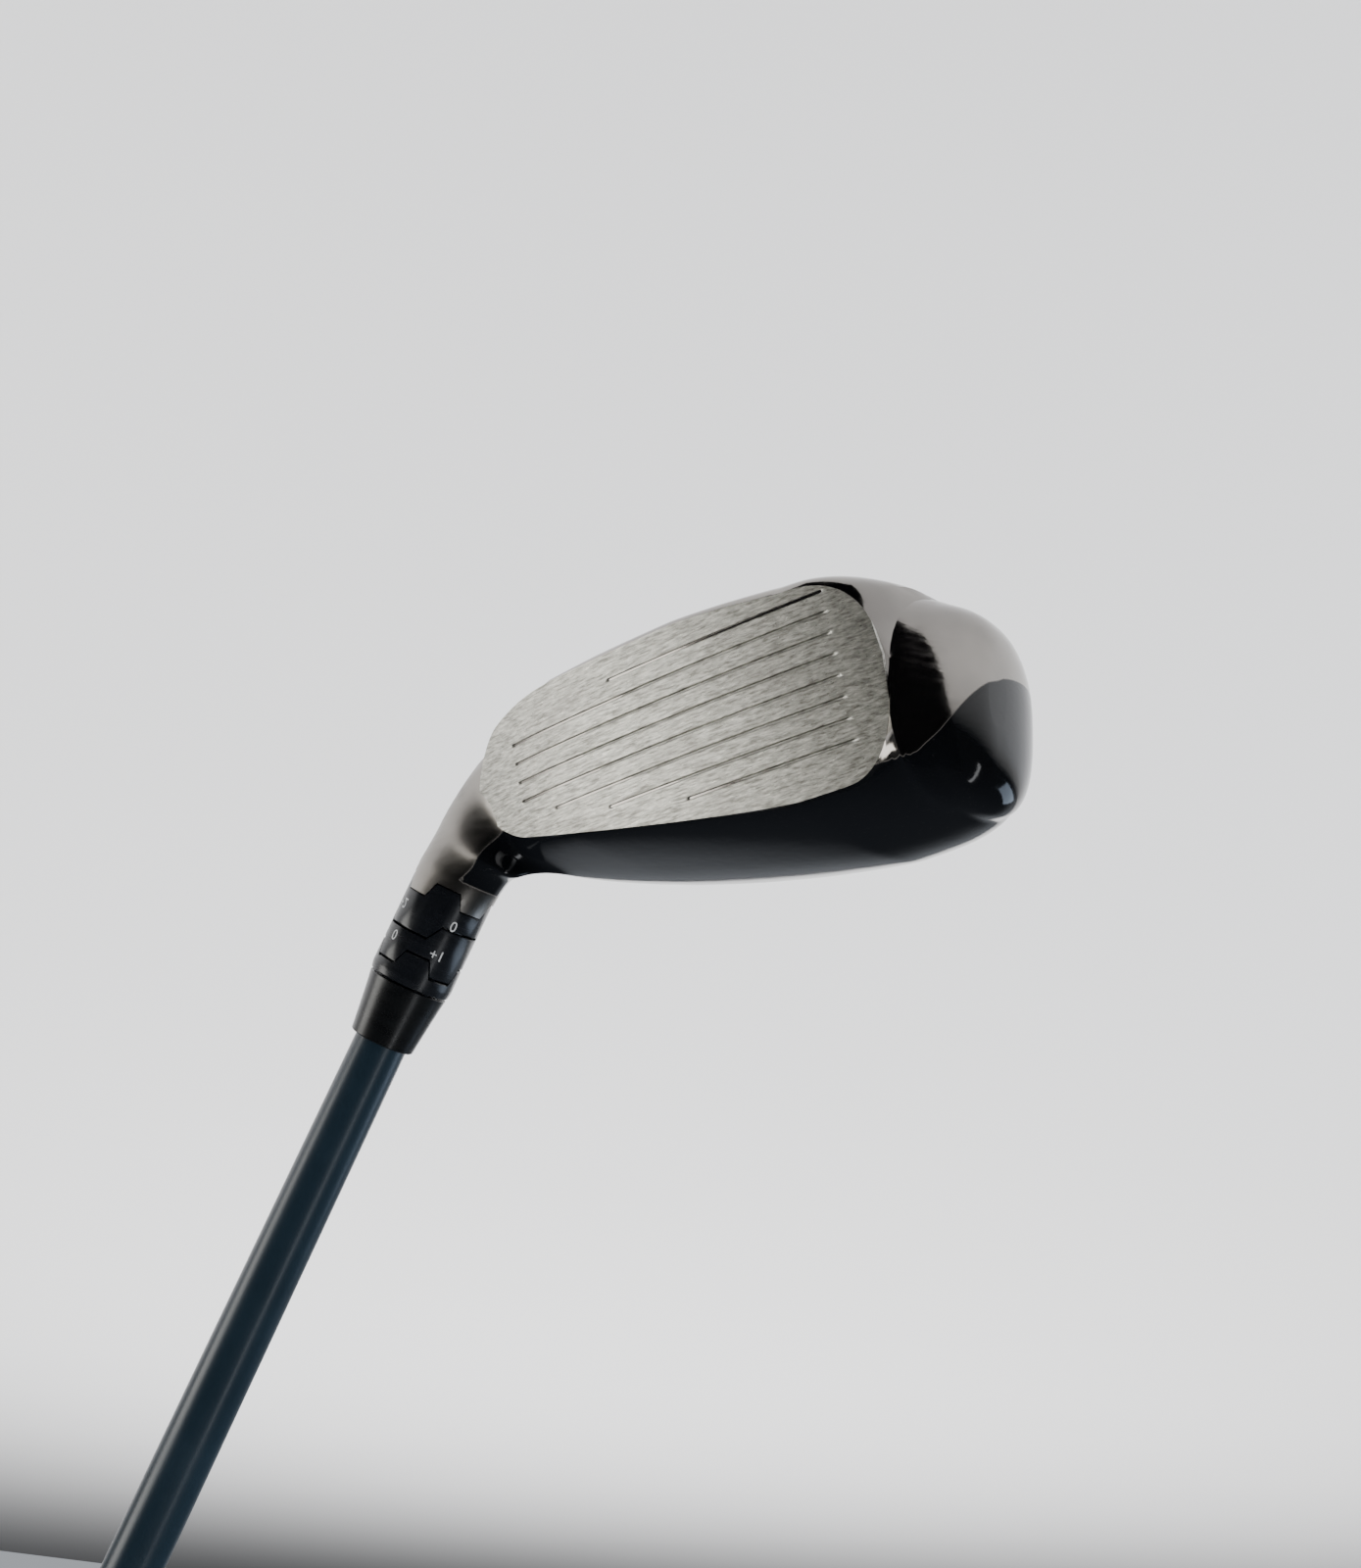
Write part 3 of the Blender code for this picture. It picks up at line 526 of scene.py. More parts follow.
def face_y(u, z):
    return -FACE_SETBACK + z * math.tan(LOFT) + bulge(u, z / math.cos(LOFT)) / math.cos(LOFT)


def section_corners(u):
    """Corners of the upright section at u, as (y, z): leading edge, top, crest, back, sole."""
    cos_loft = math.cos(LOFT)
    sole_cap = rounded((u - SOLE_CAP_U) / (TOE_U - SOLE_CAP_U), SOLE_CAP_ROUND)
    crown_cap = rounded((u - CROWN_CAP_U) / (TOE_U - CROWN_CAP_U), CROWN_CAP_ROUND)
    crest_z = top_line(min(u, TOP_CORNER_U)) * cos_loft + CREST_RISE
    crest_z = mix(TOE_POLE_Z, crest_z, crown_cap)
    drop = SOLE_DROP * min(max(0.35 + u / 46, 0.35), 1.0)
    sole_z = leading_line(min(u, SOLE_CAP_U)) * cos_loft - drop
    sole_z = mix(TOE_POLE_Z, sole_z, sole_cap)
    pole_y = face_y(u, TOE_POLE_Z) + TOE_POLE_DEPTH
    if u > WIDEST_U:
        share = (u - WIDEST_U) / (TOE_U - WIDEST_U)
        back_y = mix(pole_y, BACK_Y, rounded(share, TOE_ROUND))
        back_z = mix(TOE_POLE_Z, BACK_Z, rounded(share, 3.0))
    else:
        back_y = BACK_Y * rounded((WIDEST_U - u) / HEEL_SPAN, HEEL_ROUND)
        back_z = BACK_Z
    if u < FACE_TOE_U:
        low_z, top_z = face_z(u, face_bottom(u)), face_z(u, face_top(u))
        leading, top = (face_y(u, low_z), low_z), (face_y(u, top_z), top_z)
    else:
        share = (u - FACE_TOE_U) / (TOE_U - FACE_TOE_U)
        edge_y = face_y(u, TOE_POLE_Z) + TOE_POLE_DEPTH * (1 - math.sqrt(max(1 - share, 0)))
        edge_z = mix(face_z(FACE_TOE_U, FACE_TOE_V), TOE_POLE_Z, share)
        leading, top = (edge_y, edge_z - 0.02), (edge_y, edge_z + 0.02)
    crest_z = max(crest_z, top[1] + 0.3 * crown_cap)
    sole_z = min(sole_z, leading[1] - 0.3 * sole_cap)
    crest = (top[0] + min(CREST_DEPTH, 0.45 * (back_y - top[0])), crest_z)
    sole = (leading[0] + min(SOLE_DEPTH, 0.45 * (back_y - leading[0])), sole_z)
    back_z = min(max(back_z, sole_z + 0.2), crest_z - 0.2)
    return leading, top, crest, (back_y, back_z), sole


def arc(start, end, power, count, upright_first):
    """Rounded quarter from start towards end, which it leaves to the next arc."""
    points = []
    for k in range(count):
        angle = math.pi / 2 * k / count
        c, s = math.cos(angle) ** (2 / power), math.sin(angle) ** (2 / power)
        if upright_first:
            points.append((mix(end[0], start[0], c), mix(start[1], end[1], s)))
        else:
            points.append((mix(start[0], end[0], s), mix(end[1], start[1], c)))
    return points


def section_outline(corners, counts):
    """The five corners joined by a straight face and four arcs."""
    leading, top, crest, back, sole = corners
    on_face, on_lip, on_crown, on_skirt, on_sole = counts
    face = [
        (mix(leading[0], top[0], k / on_face), mix(leading[1], top[1], k / on_face))
        for k in range(on_face)
    ]
    return (
        face
        + arc(top, crest, 2.0, on_lip, True)
        + arc(crest, back, CROWN_ROUND, on_crown, False)
        + arc(back, sole, SOLE_ROUND, on_skirt, True)
        + arc(sole, leading, 2.0, on_sole, False)
    )


def upright_outline(u, counts):
    return [(y, max(z, 0.0)) for y, z in section_outline(section_corners(u), counts)]


def hosel_outline(counts, middle, inner, outer):
    """The hosel's section in a tilted plane, with points between the same five corners."""
    turns = (225, 135, 90, 0, -90, -135)
    points = []
    for count, start, end in zip(counts, turns, turns[1:]):
        for k in range(count):
            angle = math.radians(mix(start, end, k / count))
            side = math.sin(angle)
            reach = middle - side * (middle - inner if side > 0 else outer - middle)
            points.append((HOSEL_R * math.cos(angle), reach))
    return points


def meet_line(line, tilt, reach):
    """Distance from the pivot at which a tilted section meets an edge of the face."""
    for _ in range(30):
        u = -(PIVOT_X + reach * math.sin(tilt))
        z = face_z(u, line(u))
        reach = mix(reach, (PIVOT_Z - z) / max(math.cos(tilt), 0.3), 0.5)
    return reach


def blend_share(tilt, front):
    """How far a section has turned from head to hosel; `front` is 1 on the face, 0 behind it."""
    start = mix(BLEND_START, FACE_BLEND_START, front)
    share = min(max((tilt - start) / (BLEND_END - start), 0), 1)
    return share * share * (3 - 2 * share)


def face_weights(counts):
    """1 on the face, easing to 0 over the lip and back to 1 over the sole."""
    on_face, on_lip, on_crown, on_skirt, on_sole = counts
    lip = [1 - k / on_lip for k in range(on_lip)]
    sole = [k / on_sole for k in range(on_sole)]
    return [1.0] * on_face + lip + [0.0] * (on_crown + on_skirt) + sole


def fan_section(tilt, counts):
    """Section in a plane turned about the pivot, as (y, distance from the pivot) points."""
    centre = PIVOT_Z * math.cos(LIE) - PIVOT_X * math.sin(LIE)
    stretch = 1 / math.cos(LIE - tilt)
    _, _, crest0, back0, sole0 = section_corners(-PIVOT_X)
    share = blend_share(tilt, 0.0)
    ease = (tilt / LIE) ** 2 * (3 - 2 * tilt / LIE)
    reach_top, reach_low = meet_line(face_top, tilt, 9.0), meet_line(face_bottom, tilt, 26.0)

    def face_point(reach):
        u = -(PIVOT_X + reach * math.sin(tilt))
        return (face_y(u, PIVOT_Z - reach * math.cos(tilt)), reach)

    crest = (
        mix(crest0[0], 0, ease),
        min(mix(PIVOT_Z - crest0[1], centre - HOSEL_R, ease), reach_top - 0.3 * (1 - share)),
    )
    back = (mix(back0[0], HOSEL_R, ease**0.7), mix(PIVOT_Z - back0[1], centre, ease))
    sole_reach = min(PIVOT_Z - sole0[1], (centre + HOSEL_R) * stretch)
    sole = (mix(sole0[0], 0, ease), max(sole_reach, reach_low + 0.3))
    corners = (face_point(reach_low), face_point(reach_top), crest, back, sole)
    body = section_outline(corners, counts)
    fill = NECK_FILL * math.sin(math.pi * tilt / LIE) + NECK_END_FILL * ease
    inner = mix(PIVOT_Z - crest0[1], centre - HOSEL_R, ease) - fill
    circle = hosel_outline(counts, centre * stretch, inner, (centre + HOSEL_R) * stretch)
    shares = [blend_share(tilt, front) for front in face_weights(counts)]
    return [
        (mix(b[0], c[0], part), mix(b[1], c[1], part))
        for b, c, part in zip(body, circle, shares)
    ]


def place_head(points):
    """From millimetres about the shaft axis's foot to metres about the club's origin."""
    return [((x + AXIS_X) * MM, (y + AXIS_Y) * MM, (z + AXIS_Z) * MM) for x, y, z in points]


def skin(rings):
    """Faces that join equal rings of points, with both ends closed."""
    count = len(rings[0])
    faces = [tuple(range(count)), tuple((len(rings) - 1) * count + k for k in range(count))]
    for ring in range(len(rings) - 1):
        for k in range(count):
            m = (k + 1) % count
            here, there = ring * count, (ring + 1) * count
            faces.append((here + k, here + m, there + m, there + k))
    return [point for ring in rings for point in ring], faces


def head_rings(counts, uprights, fans, straights):
    """Rings of the outer surface, from the toe's end to the hosel's end."""
    rings = []
    for k in range(uprights):
        share = k / (uprights - 1)
        u = TOE_U - 0.05 - (TOE_U + PIVOT_X) * (1 - math.cos(share * math.pi / 2))
        rings.append([(-u, y, z) for y, z in upright_outline(u, counts)])
    for k in range(1, fans + 1):
        tilt = LIE * k / fans
        across, down = math.sin(tilt), -math.cos(tilt)
        outline = fan_section(tilt, counts)
        rings.append([(PIVOT_X + r * across, y, PIVOT_Z + r * down) for y, r in outline])
    start = PIVOT_X * math.cos(LIE) + PIVOT_Z * math.sin(LIE)
    centre = PIVOT_Z * math.cos(LIE) - PIVOT_X * math.sin(LIE)
    for k in range(1, straights + 1):
        fill = NECK_END_FILL * (1 - k / straights) ** 2
        step = (HOSEL_END + 1.0 - start) * k / straights
        foot = (PIVOT_X + step * math.cos(LIE), PIVOT_Z + step * math.sin(LIE))
        outline = hosel_outline(counts, centre, centre - HOSEL_R - fill, centre + HOSEL_R)
        rings.append([(foot[0] + r * across, y, foot[1] + r * down) for y, r in outline])
    return rings


def joint_height(u, depth):
    """Height of the crown's lower edge at a depth behind the face."""
    edge_u = min(u, TOP_CORNER_U)
    top_z = face_z(edge_u, top_line(edge_u)) - JOINT_LIP
    return JOINT_LOW_Z + (top_z - JOINT_LOW_Z) * math.exp(-max(depth, 0) / JOINT_FADE)


def paint_depth(x, y, z):
    """Signed distance inside the black lacquer, in millimetres from the shaft axis's foot."""
    u = -x
    over_joint = z - joint_height(u, y - face_y(u, z))
    along = x * math.cos(LIE) + z * math.sin(LIE)
    over = -x * math.sin(LIE) + z * math.cos(LIE)
    angle = math.degrees(math.atan2(-y, over))
    edge = PAINT_FRONT - PAINT_SWEEP * min(max(PAINT_END - along, 0), 9.0)
    front = HOSEL_R * math.radians(edge - angle)
    back = HOSEL_R * math.radians(angle - PAINT_BACK)
    share = min(max((6.0 - u) / 14.0, 0), 1)
    share = share * share * (3 - 2 * share)
    return min(mix(over_joint, min(front, back), share), PAINT_END - along)


# ---------------------------------------------------------------- pieces


def solid_cut(piece, cutters):
    """Subtract the cutters from a piece and keep the result as its mesh."""
    for cutter in cutters:
        boolean = piece.modifiers.new(cutter.name, "BOOLEAN")
        boolean.operation = "DIFFERENCE"
        boolean.solver = "EXACT"
        boolean.object = cutter
    bpy.context.view_layer.update()
    evaluated = piece.evaluated_get(bpy.context.evaluated_depsgraph_get())
    mesh = bpy.data.meshes.new_from_object(evaluated)
    piece.modifiers.clear()
    piece.data = mesh
    for cutter in cutters:
        bpy.data.objects.remove(cutter, do_unlink=True)


def weight_place():
    """Upright axis of the sole weight."""
    return Matrix.Translation(Vector((AXIS_X - WEIGHT_U, AXIS_Y + WEIGHT_Y, AXIS_Z)) * MM)


def eased_point(point, neighbours, pull):
    """A point drawn towards the middle of its four neighbours."""
    return tuple(mix(own, sum(others) / 4, pull) for own, *others in zip(point, *neighbours))


def relaxed(rings, first, rounds):
    """Rings from `first` on, eased toward their neighbours so that the neck flows smoothly."""
    last = len(rings) - EASE_LAST_RINGS
    for _ in range(rounds):
        eased = list(rings)
        for k in range(first, last):
            pull = 0.5 * min((k - first) / 12, 1) * min((last - k) / 8, 1)
            ring, before, after = rings[k], rings[k - 1], rings[k + 1]
            around = zip(ring[-1:] + ring[:-1], ring[1:] + ring[:1], before, after)
            eased[k] = [eased_point(p, near, pull) for p, near in zip(ring, around)]
        rings = eased
    return rings


def make_head(material):
    """Head and hosel in one skin, with the bore, the hosel's tabs and the weight port cut."""
    rings = head_rings(SKIN_COUNTS, UPRIGHT_RINGS, FAN_RINGS, STRAIGHT_RINGS)
    rings = relaxed(rings, EASE_FIRST_RING, EASE_ROUNDS)
    points, faces = skin([place_head(r) for r in rings])
    head = mesh_object("head_shell", points, faces, material, HEAD_SHARP)
    bore_top, notch_top, seat = HOSEL_END + 4, HOSEL_END + 3, PORT_R + GAP
    bore = [
        (0, -PAST), (SCREW_HEAD_R, -PAST), (SCREW_HEAD_R, SEAT), (SCREW_SHANK_R, SEAT),
        (SCREW_SHANK_R, BORE_BOTTOM), (HOSEL_BORE_R, BORE_BOTTOM), (HOSEL_BORE_R, bore_top),
        (0, bore_top),
    ]

    def over_hosel(angle):
        low = hosel_joint(angle)
        return [
            (NOTCH_INNER, low), (NOTCH_OUTER, low), (NOTCH_OUTER, notch_top), (NOTCH_INNER, notch_top)
        ]

    port_hole = [(0, PORT_LOW), (seat, PORT_LOW), (seat, PORT_HIGH), (0, PORT_HIGH)]
    solid_cut(head, [
        turned("bore_cutter", bore, steps=72),
        turned("notch_cutter", over_hosel, angles=tab_angles()),
        turned("port_cutter", port_hole, steps=72, place=weight_place()),
    ])
    shade(head.data, HEAD_SHARP)
    paint = [0.0] * len(head.data.vertices)
    neck = list(paint)
    for k, vertex in enumerate(head.data.vertices):
        x, y, z = vertex.co / MM
        paint[k] = paint_depth(x - AXIS_X, y - AXIS_Y, z - AXIS_Z)
        neck[k] = min(max((14.0 + x - AXIS_X) / 16.0, 0), 1)
    for key, values in (("paint", paint), ("neck", neck)):
        head.data.attributes.new(key, "FLOAT", "POINT").data.foreach_set("value", values)
    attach(head, "head")
    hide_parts("head_body", "crown")


def groove_rows():
    """Heights of the face's rows: close together over each groove."""
    rows = [*LOW_ROWS, *TOP_ROWS]
    for line in range(len(GROOVE_HEELS)):
        middle = GROOVE_FIRST_V + GROOVE_PITCH * line
        rows += [middle + off for off in (*GROOVE_ROWS, GROOVE_PITCH / 2)]
    return sorted(rows)


def groove_depth(u, v):
    """Share of a groove's full depth: worn toward the toe, sloped at both ends."""
    line = round((v - GROOVE_FIRST_V) / GROOVE_PITCH)
    if not 0 <= line < len(GROOVE_HEELS):
        return 0.0
    across = abs(v - GROOVE_FIRST_V - GROOVE_PITCH * line)
    profile = min(max((GROOVE_HALF - across) / (GROOVE_HALF - 0.10), 0), 1)
    ends = min(u - GROOVE_HEELS[line], GROOVE_TOE_U - u)
    worn = 1 - 0.5 * min(max(u / GROOVE_TOE_U, 0), 1)
    return profile * worn * min(max(ends / 0.8, 0), 1)


def groove_dirt_and_shade(u, v):
    """Dirt and painted shade in a groove: dirt thick at its heel end, a thin painted shade along it.
    """
    line = min(max(round((v - GROOVE_FIRST_V) / GROOVE_PITCH), 0), len(GROOVE_HEELS) - 1)
    along = max(u - GROOVE_HEELS[line], 0)
    dashes = 0.35 * math.exp(-along / 9) * (0.5 + 0.5 * math.sin(along * 2.6 + line))
    thin = 0.30 - 0.14 * min(along / 50, 1)
    return min(thin + 0.6 * math.exp(-along / 1.3) + dashes, 1.0)


def quarter_round(share):
    """Rise of a quarter circle from 0 to 1."""
    return math.sqrt(max(1 - (1 - min(share, 1.0)) ** 2, 0))


def make_face(material):
    """The grooved face: a skin over the head with a thin folded edge."""
    heel_u, toe_u = FACE_SKIN_HEEL_U, FACE_TOE_U
    columns = [heel_u + (toe_u - heel_u) * k / FACE_COLUMNS for k in range(FACE_COLUMNS + 1)]
    columns += [heel_u + 5.0 * (k / HEEL_COLUMNS) ** 2 for k in range(HEEL_COLUMNS)]
    columns += [end + off for end in GROOVE_HEELS + (GROOVE_TOE_U,) for off in (-0.8, 0, 0.8)]
    columns = sorted(set(round(u, 3) for u in columns if heel_u <= u <= toe_u))
    rows = groove_rows()
    points, dirt_and_painted_shade, faces = [], [], []
    for u in columns:
        opened_low = quarter_round((u - heel_u) / LOW_CURVE)
        opened_high = quarter_round((u - heel_u) / HIGH_CURVE)
        low = mix(FACE_SKIN_MIDDLE_V, face_bottom(u) + FACE_INSET, opened_low)
        high = mix(FACE_SKIN_MIDDLE_V, face_top(u) - FACE_INSET, opened_high)
        for v in rows:
            v = min(max(v, low), high)
            depth = groove_depth(u, v)
            z = face_z(u, v)
            lift = FACE_LIFT - GROOVE_DEPTH * depth
            y = face_y(u, z) - lift * math.cos(LOFT)
            points.append((-u, y, z + lift * math.sin(LOFT)))
            # Groove colour: dirt at the heel end, and painted shade along the recess in proportion to
            # its depth.
            dirt_and_painted_shade.append(depth * groove_dirt_and_shade(u, v))
    count = len(rows)
    for c in range(len(columns) - 1):
        for k in range(count - 1):
            here = c * count + k
            faces.append((here, here + 1, here + count + 1, here + count))
    mesh = bpy.data.meshes.new("face_grooved")
    mesh.from_pydata(place_head(points), [], faces)
    mesh.attributes.new("dirt_and_painted_shade", "FLOAT", "POINT").data.foreach_set("value", dirt_and_painted_shade)
    work = bmesh.new()
    work.from_mesh(mesh)
    bmesh.ops.remove_doubles(work, verts=work.verts, dist=WELD)
    bmesh.ops.recalc_face_normals(work, faces=work.faces)
    rim = [edge for edge in work.edges if edge.is_boundary]
    folded = bmesh.ops.extrude_edge_only(work, edges=rim)
    for item in folded["geom"]:
        if isinstance(item, bmesh.types.BMVert):
            item.co += FACE_FOLD * MM
    work.normal_update()
    work.to_mesh(mesh)
    work.free()
    shade(mesh, FACE_SHARP)
    face = linked("face_grooved", mesh)
    mesh.materials.append(material)
    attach(face, "head")
    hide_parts("face_plate")


def make_adapter(anodised, plastic):
    """Adapter with its collar, the two clocking rings and the ferrule."""
    sleeve_end = FERRULE_START - GAP / 2

    def sleeve(angle):
        shoulder = collar_joint(angle) + GAP / 2
        return [
            (4.2, SLEEVE_TIP), (4.9, SLEEVE_TIP), (SLEEVE_R, SLEEVE_TIP + 1.0),
            (SLEEVE_R, shoulder), (COG_R - 0.2, shoulder), (COG_R, shoulder + 0.2),
            (HOSEL_R, 48.7), (HOSEL_R - 0.02, 49.0), (7.25, sleeve_end - 0.15),
            (7.1, sleeve_end), (SLEEVE_BORE_R, sleeve_end),
            (SLEEVE_BORE_R, 24.5), (4.2, 23.9),
        ]

    pieces = {
        "adapter_sleeve": turned("sleeve_fine", sleeve, anodised, tab_angles()),
        "lower_cog": turned(
            "lower_cog_fine", ring_between(hosel_joint, cog_joint, COG_BORE_R, COG_R),
            anodised, tab_angles(),
        ),
        "upper_cog": turned(
            "upper_cog_fine", ring_between(cog_joint, collar_joint, COG_BORE_R, COG_R),
            anodised, tab_angles(),
        ),
    }
    start = FERRULE_START + GAP / 2
    shoulder_r, shoulder, steps = 7.15, start + 0.15, 14
    ferrule = [(SLEEVE_BORE_R, start), (7.0, start), (shoulder_r, shoulder)]
    for k in range(1, steps + 1):
        share = k / steps
        radius = mix(shoulder_r, FERRULE_END_R, share**0.9)
        ferrule.append((radius, mix(shoulder, FERRULE_END - 0.2, share)))
    ferrule += [(FERRULE_END_R - 0.25, FERRULE_END), (SLEEVE_BORE_R, FERRULE_END)]
    pieces["ferrule"] = turned("ferrule_fine", ferrule, plastic)
    bodies = {"lower_cog": "lower_cog", "upper_cog": "upper_cog"}
    for node, piece in pieces.items():
        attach(piece, bodies.get(node, "shaft_assembly"))
        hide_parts(node)


def shaft_radius(station):
    """Radius of the tapered shaft."""
    share = min(max((station - TAPER_START) / (TAPER_END - TAPER_START), 0), 1)
    return mix(SHAFT_TIP_R, SHAFT_BUTT_R, share)


def make_shaft(material):
    """Tapered tube."""
    tapered = [TAPER_START + 30 * k for k in range(31)]
    stations = [SHAFT_TIP, *tapered, SHAFT_BUTT]
    outside = [(shaft_radius(s), s) for s in stations]
    inside = [(shaft_radius(s) - SHAFT_WALL, s) for s in reversed(stations)]
    shaft = turned("shaft_fine", outside + inside, material)
    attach(shaft, "shaft_assembly")
    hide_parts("shaft")


def make_grip(rubber):
    """Grip with rings of shallow grooves, and its cap with a vent hole."""
    tape, pitch, groove = 0.4, 9.0, 0.35
    inner = SHAFT_BUTT_R + GAP + tape + GAP
    outside = [(GRIP_MOUTH_R - 0.6, GRIP_START), (GRIP_MOUTH_R, GRIP_START + 2.0)]
    station = GRIP_START + 8.0
    while station < GRIP_END - 10:
        share = (station - GRIP_START) / (GRIP_END - GRIP_START)
        radius = mix(GRIP_MOUTH_R, GRIP_BUTT_R, share)
        outside += [
            (radius, station), (radius - groove, station + 0.5),
            (radius - groove, station + 1.1), (radius, station + 1.6),
        ]
        station += pitch
    outside += [
        (GRIP_BUTT_R, GRIP_END - 4), (GRIP_BUTT_R, GRIP_END - 0.4), (GRIP_BUTT_R - 0.4, GRIP_END)
    ]
    outline = [(inner, GRIP_START)] + outside + [(inner, GRIP_END)]
    grip = turned("grip_fine", outline, rubber)
    base = GRIP_END + GAP
    cap_outline = [
        (1.2, base), (GRIP_BUTT_R - 0.3, base), (GRIP_BUTT_R + 0.2, base + 0.4),
        (GRIP_BUTT_R + 0.4, base + 1.0), (GRIP_BUTT_R + 0.2, base + 2.2),
        (GRIP_BUTT_R - 0.6, base + 3.3), (11.0, base + 4.1), (7.0, base + 4.6),
        (1.5, base + 4.8), (1.2, base + 4.6),
    ]
    cap = turned("grip_cap_fine", cap_outline, rubber)
    for piece, node in ((grip, "grip"), (cap, "grip_cap")):
        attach(piece, "shaft_assembly")
        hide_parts(node)


def make_mark(text, station, angle, body, material):
    """A painted number that follows the ring's curve."""
    curve = bpy.data.curves.new("mark", "FONT")
    curve.body = text
    curve.size = MARK_HEIGHT * MM
    curve.align_x = "CENTER"
    curve.align_y = "CENTER"
    curve.extrude = MARK_THICK * MM
    flat = linked("mark_flat", curve)
    bpy.context.view_layer.update()
    evaluated = flat.evaluated_get(bpy.context.evaluated_depsgraph_get())
    mesh = bpy.data.meshes.new_from_object(evaluated)
    bpy.data.objects.remove(flat, do_unlink=True)
    radius = (COG_R + 0.015) * MM
    for vertex in mesh.vertices:
        across, along, outward = vertex.co
        turn = math.radians(angle) - across / radius
        out = radius + outward
        vertex.co = (out * math.cos(turn), out * math.sin(turn), station * MM + along)
    piece = linked(f"mark_{round(station)}_{round(angle) % 360}", mesh)
    mesh.materials.append(material)
    piece.matrix_world = axis_frame()
    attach(piece, body)


def make_camera():
    """Camera in the fitted place, without blur."""
    data = bpy.data.cameras.new("camera")
    data.lens = CAMERA_LENS
    data.sensor_width = 36.0
    data.clip_start = 0.01
    camera = linked("camera", data)
    turn = Matrix((CAMERA_RIGHT, CAMERA_UP, CAMERA_BACK)).transposed().to_4x4()
    at = (Vector(CAMERA_AT) + Vector((AXIS_X, AXIS_Y, AXIS_Z))) * MM
    camera.matrix_world = Matrix.Translation(at) @ turn
    bpy.context.scene.camera = camera


def make_flag():
    """Black card beside the camera: the dark stripe that polished steel shows at the toe."""
    p = Paint("flag_black", specular=0.0)
    p.colour(p.blend(p.noise(4.0), (0.004, 0.004, 0.005), (0.006, 0.006, 0.007)))
    p.roughness(1.0)
    foot = (STAGE_FOOT + FLAG_SHIFT) * MM
    low, high = Vector((0, 0, FLAG_LOW)), Vector((0, 0, FLAG_HIGH))
    points = []
    for degrees in range(FLAG_FROM, FLAG_TO, FLAG_STEP):
        turn = math.radians(degrees)
        out = Vector((math.cos(turn), math.sin(turn), 0)) * FLAG_REACH
        points += [foot + out * FLAG_INNER + low, foot + out + low, foot + out + high]
    faces = []
    for k in range(len(points) // 3 - 1):
        faces += [(3 * k + m, 3 * k + m + 1, 3 * k + m + 4, 3 * k + m + 3) for m in (0, 1)]
    mesh = bpy.data.meshes.new("flag")
    mesh.from_pydata(points, [], faces)
    mesh.materials.append(p.material)
    flag = linked("flag", mesh)
    flag.visible_camera = False
    flag.visible_shadow = False
    flag.visible_diffuse = False


def make_light(name, at, target, size, power, colour, seen):
    """Rectangular lamp, unseen by the camera."""
    data = bpy.data.lights.new(name, "AREA")
    data.shape = "RECTANGLE"
    data.size, data.size_y = size
    data.energy = power
    data.color = colour
    lamp = linked(name, data)
    lamp.location = Vector(at) + STAGE_FOOT * MM
    lamp.visible_glossy = seen
    lamp.visible_camera = False
    aim = Vector(target) - Vector(at)
    lamp.rotation_euler = aim.to_track_quat("-Z", "Y").to_euler()


def make_floor():
    """Wide pale floor."""
    p = Paint("floor_pale", specular=0.2)
    p.colour(p.blend(p.noise(3.0, 2.0), (0.80, 0.80, 0.81), (0.82, 0.82, 0.83)))
    p.roughness(0.9)
    mesh = bpy.data.meshes.new("floor")
    half, low = FLOOR_HALF, AXIS_Z * MM - FLOOR_DROP
    corners = [(-half, -half, low), (half, -half, low), (half, half, low), (-half, half, low)]
    mesh.from_pydata(corners, [], [(0, 1, 2, 3)])
    mesh.materials.append(p.material)
    linked("floor", mesh)


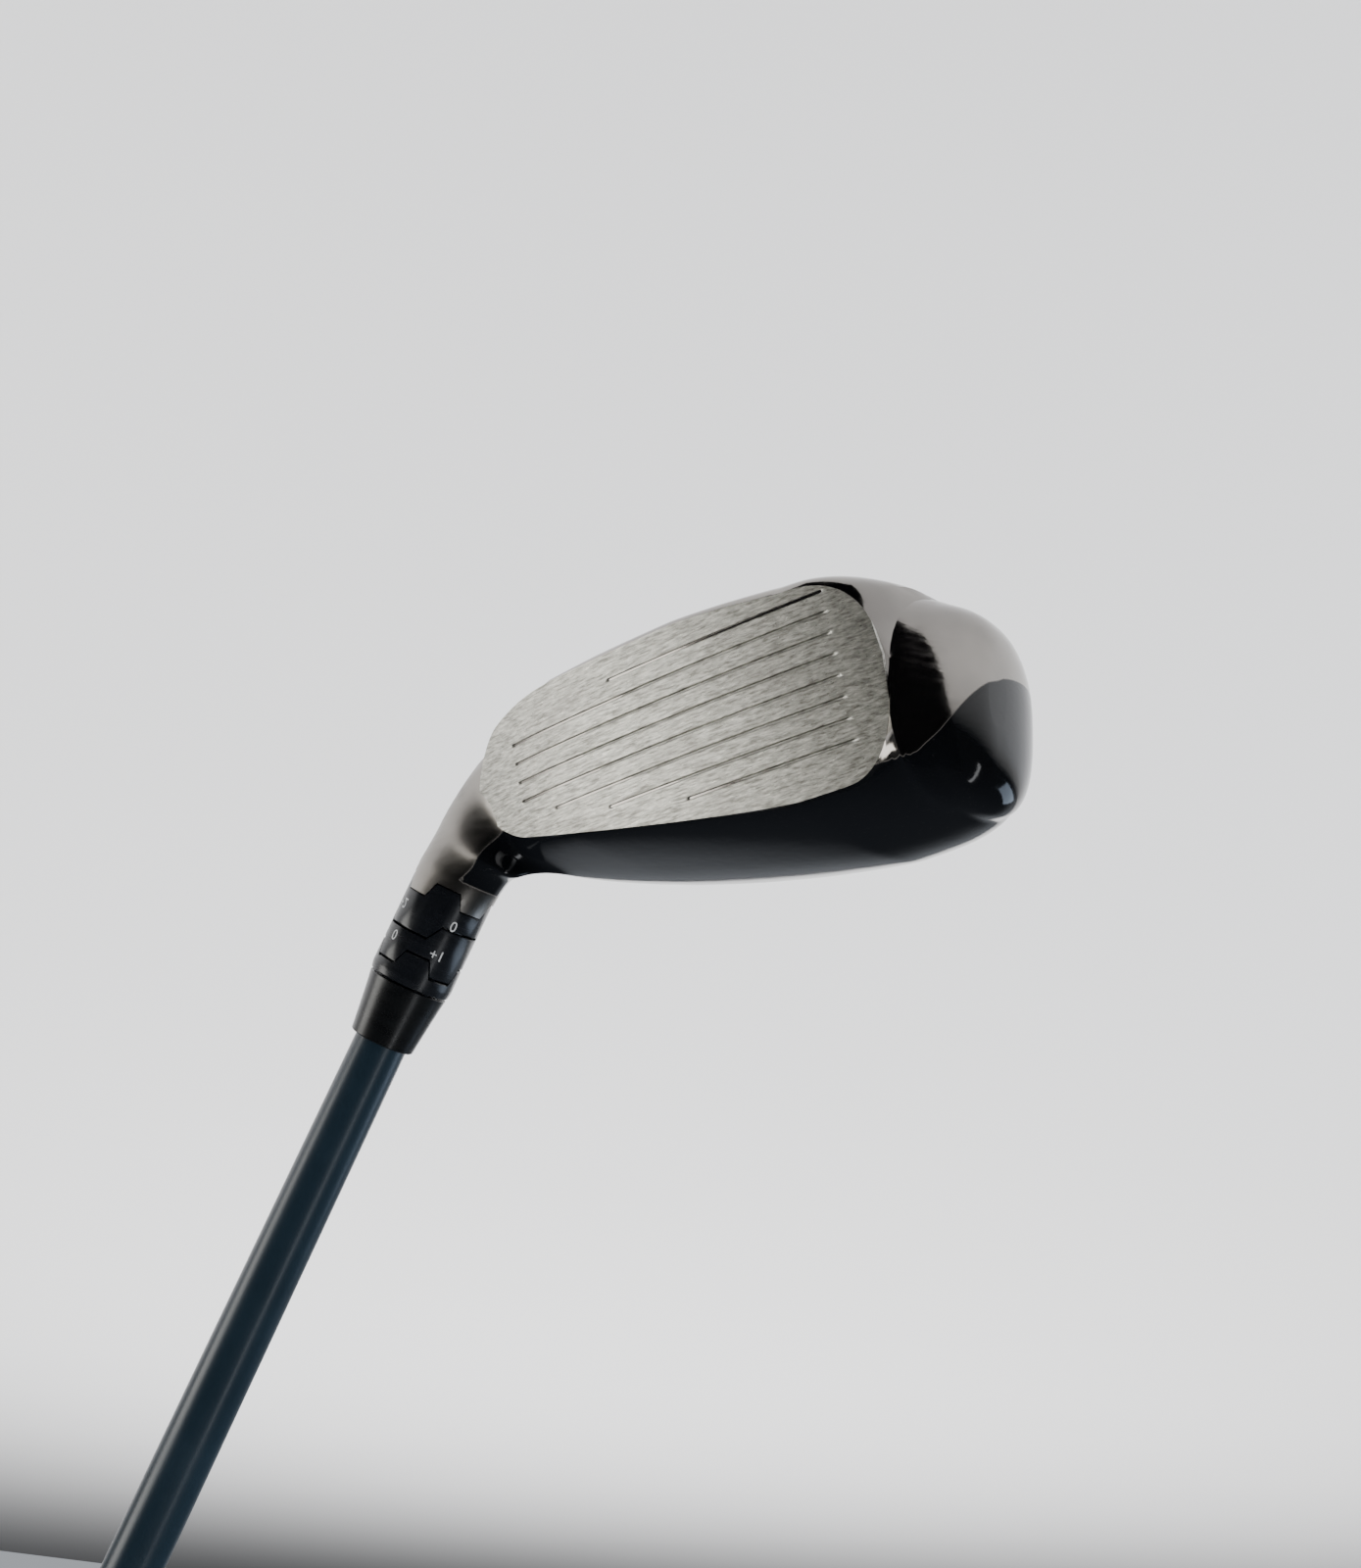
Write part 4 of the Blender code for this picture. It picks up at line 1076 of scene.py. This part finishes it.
def make_sky():
    """Nearly black room with a pale glow low down, behind the club on the grip's side."""
    world = bpy.data.worlds.new("world")
    world.use_nodes = True
    tree = world.node_tree
    background = tree.nodes["Background"]
    background.inputs["Color"].default_value = SKY_COLOUR
    split = tree.nodes.new("ShaderNodeSeparateXYZ")
    direction = tree.nodes.new("ShaderNodeTexCoord").outputs["Generated"]
    tree.links.new(direction, split.inputs["Vector"])

    def ramp(value, low_in, high_in, low_out, high_out):
        node = tree.nodes.new("ShaderNodeMapRange")
        node.interpolation_type = "SMOOTHSTEP"
        tree.links.new(value, node.inputs["Value"])
        limits = {"From Min": low_in, "From Max": high_in, "To Min": low_out, "To Max": high_out}
        for key, number in limits.items():
            node.inputs[key].default_value = number
        return node.outputs["Result"]

    def combine(operation, a, b):
        node = tree.nodes.new("ShaderNodeMath")
        node.operation = operation
        tree.links.new(a, node.inputs[0])
        if isinstance(b, float):
            node.inputs[1].default_value = b
        else:
            tree.links.new(b, node.inputs[1])
        return node.outputs["Value"]

    behind = ramp(combine("ADD", split.outputs["X"], split.outputs["Y"]), 0.3, 1.3, 0.0, 1.0)
    low_down = ramp(split.outputs["Z"], 0.02, 0.36, SKY_GLOW, 0.0)
    glow = combine("MULTIPLY", behind, low_down)
    tree.links.new(combine("ADD", glow, SKY_STRENGTH), background.inputs["Strength"])
    bpy.context.scene.world = world


make_camera()
make_floor()
make_sky()
make_flag()
for name, lamp in LAMPS.items():
    make_light(name, *lamp)

steel_and_lacquer = head_material()
brushed = face_material()
anodised = anodised_material("anodised_slate", (0.006, 0.007, 0.009), 0.26, 900)
plastic = anodised_material("ferrule_plastic", (0.004, 0.0045, 0.005), 0.28, 700)
slate = anodised_material("shaft_slate", (0.010, 0.020, 0.030), 0.30, 60)
grip_rubber = rubber_material("grip_rubber", True)
seal_rubber = rubber_material("seal_rubber", False)
screw_steel = plain_metal("screw_steel", (0.20, 0.20, 0.21), 0.36)
weight_metal = plain_metal("weight_metal", (0.36, 0.36, 0.38), 0.42)
mark_paint = mark_material()

make_head(steel_and_lacquer)
make_face(brushed)
make_adapter(anodised, plastic)
make_shaft(slate)
make_grip(grip_rubber)
for text, angle in LOWER_MARKS.items():
    make_mark(text, LOWER_MARK_S, angle, "lower_cog", mark_paint)
for text, angle in UPPER_MARKS.items():
    make_mark(text, UPPER_MARK_S, angle, "upper_cog", mark_paint)

CARRIED = {
    "weight_screw": weight_metal, "weight_port": screw_steel, "weight_seal": seal_rubber,
    "hosel_screw": screw_steel, "screw_washer": screw_steel, "screw_retainer": seal_rubber,
    "sleeve_insert": screw_steel, "tip_plug": weight_metal, "butt_plug": plastic,
    "grip_tape": tape_material(),
}
for node, material in CARRIED.items():
    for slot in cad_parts[node].material_slots:
        slot.material = material
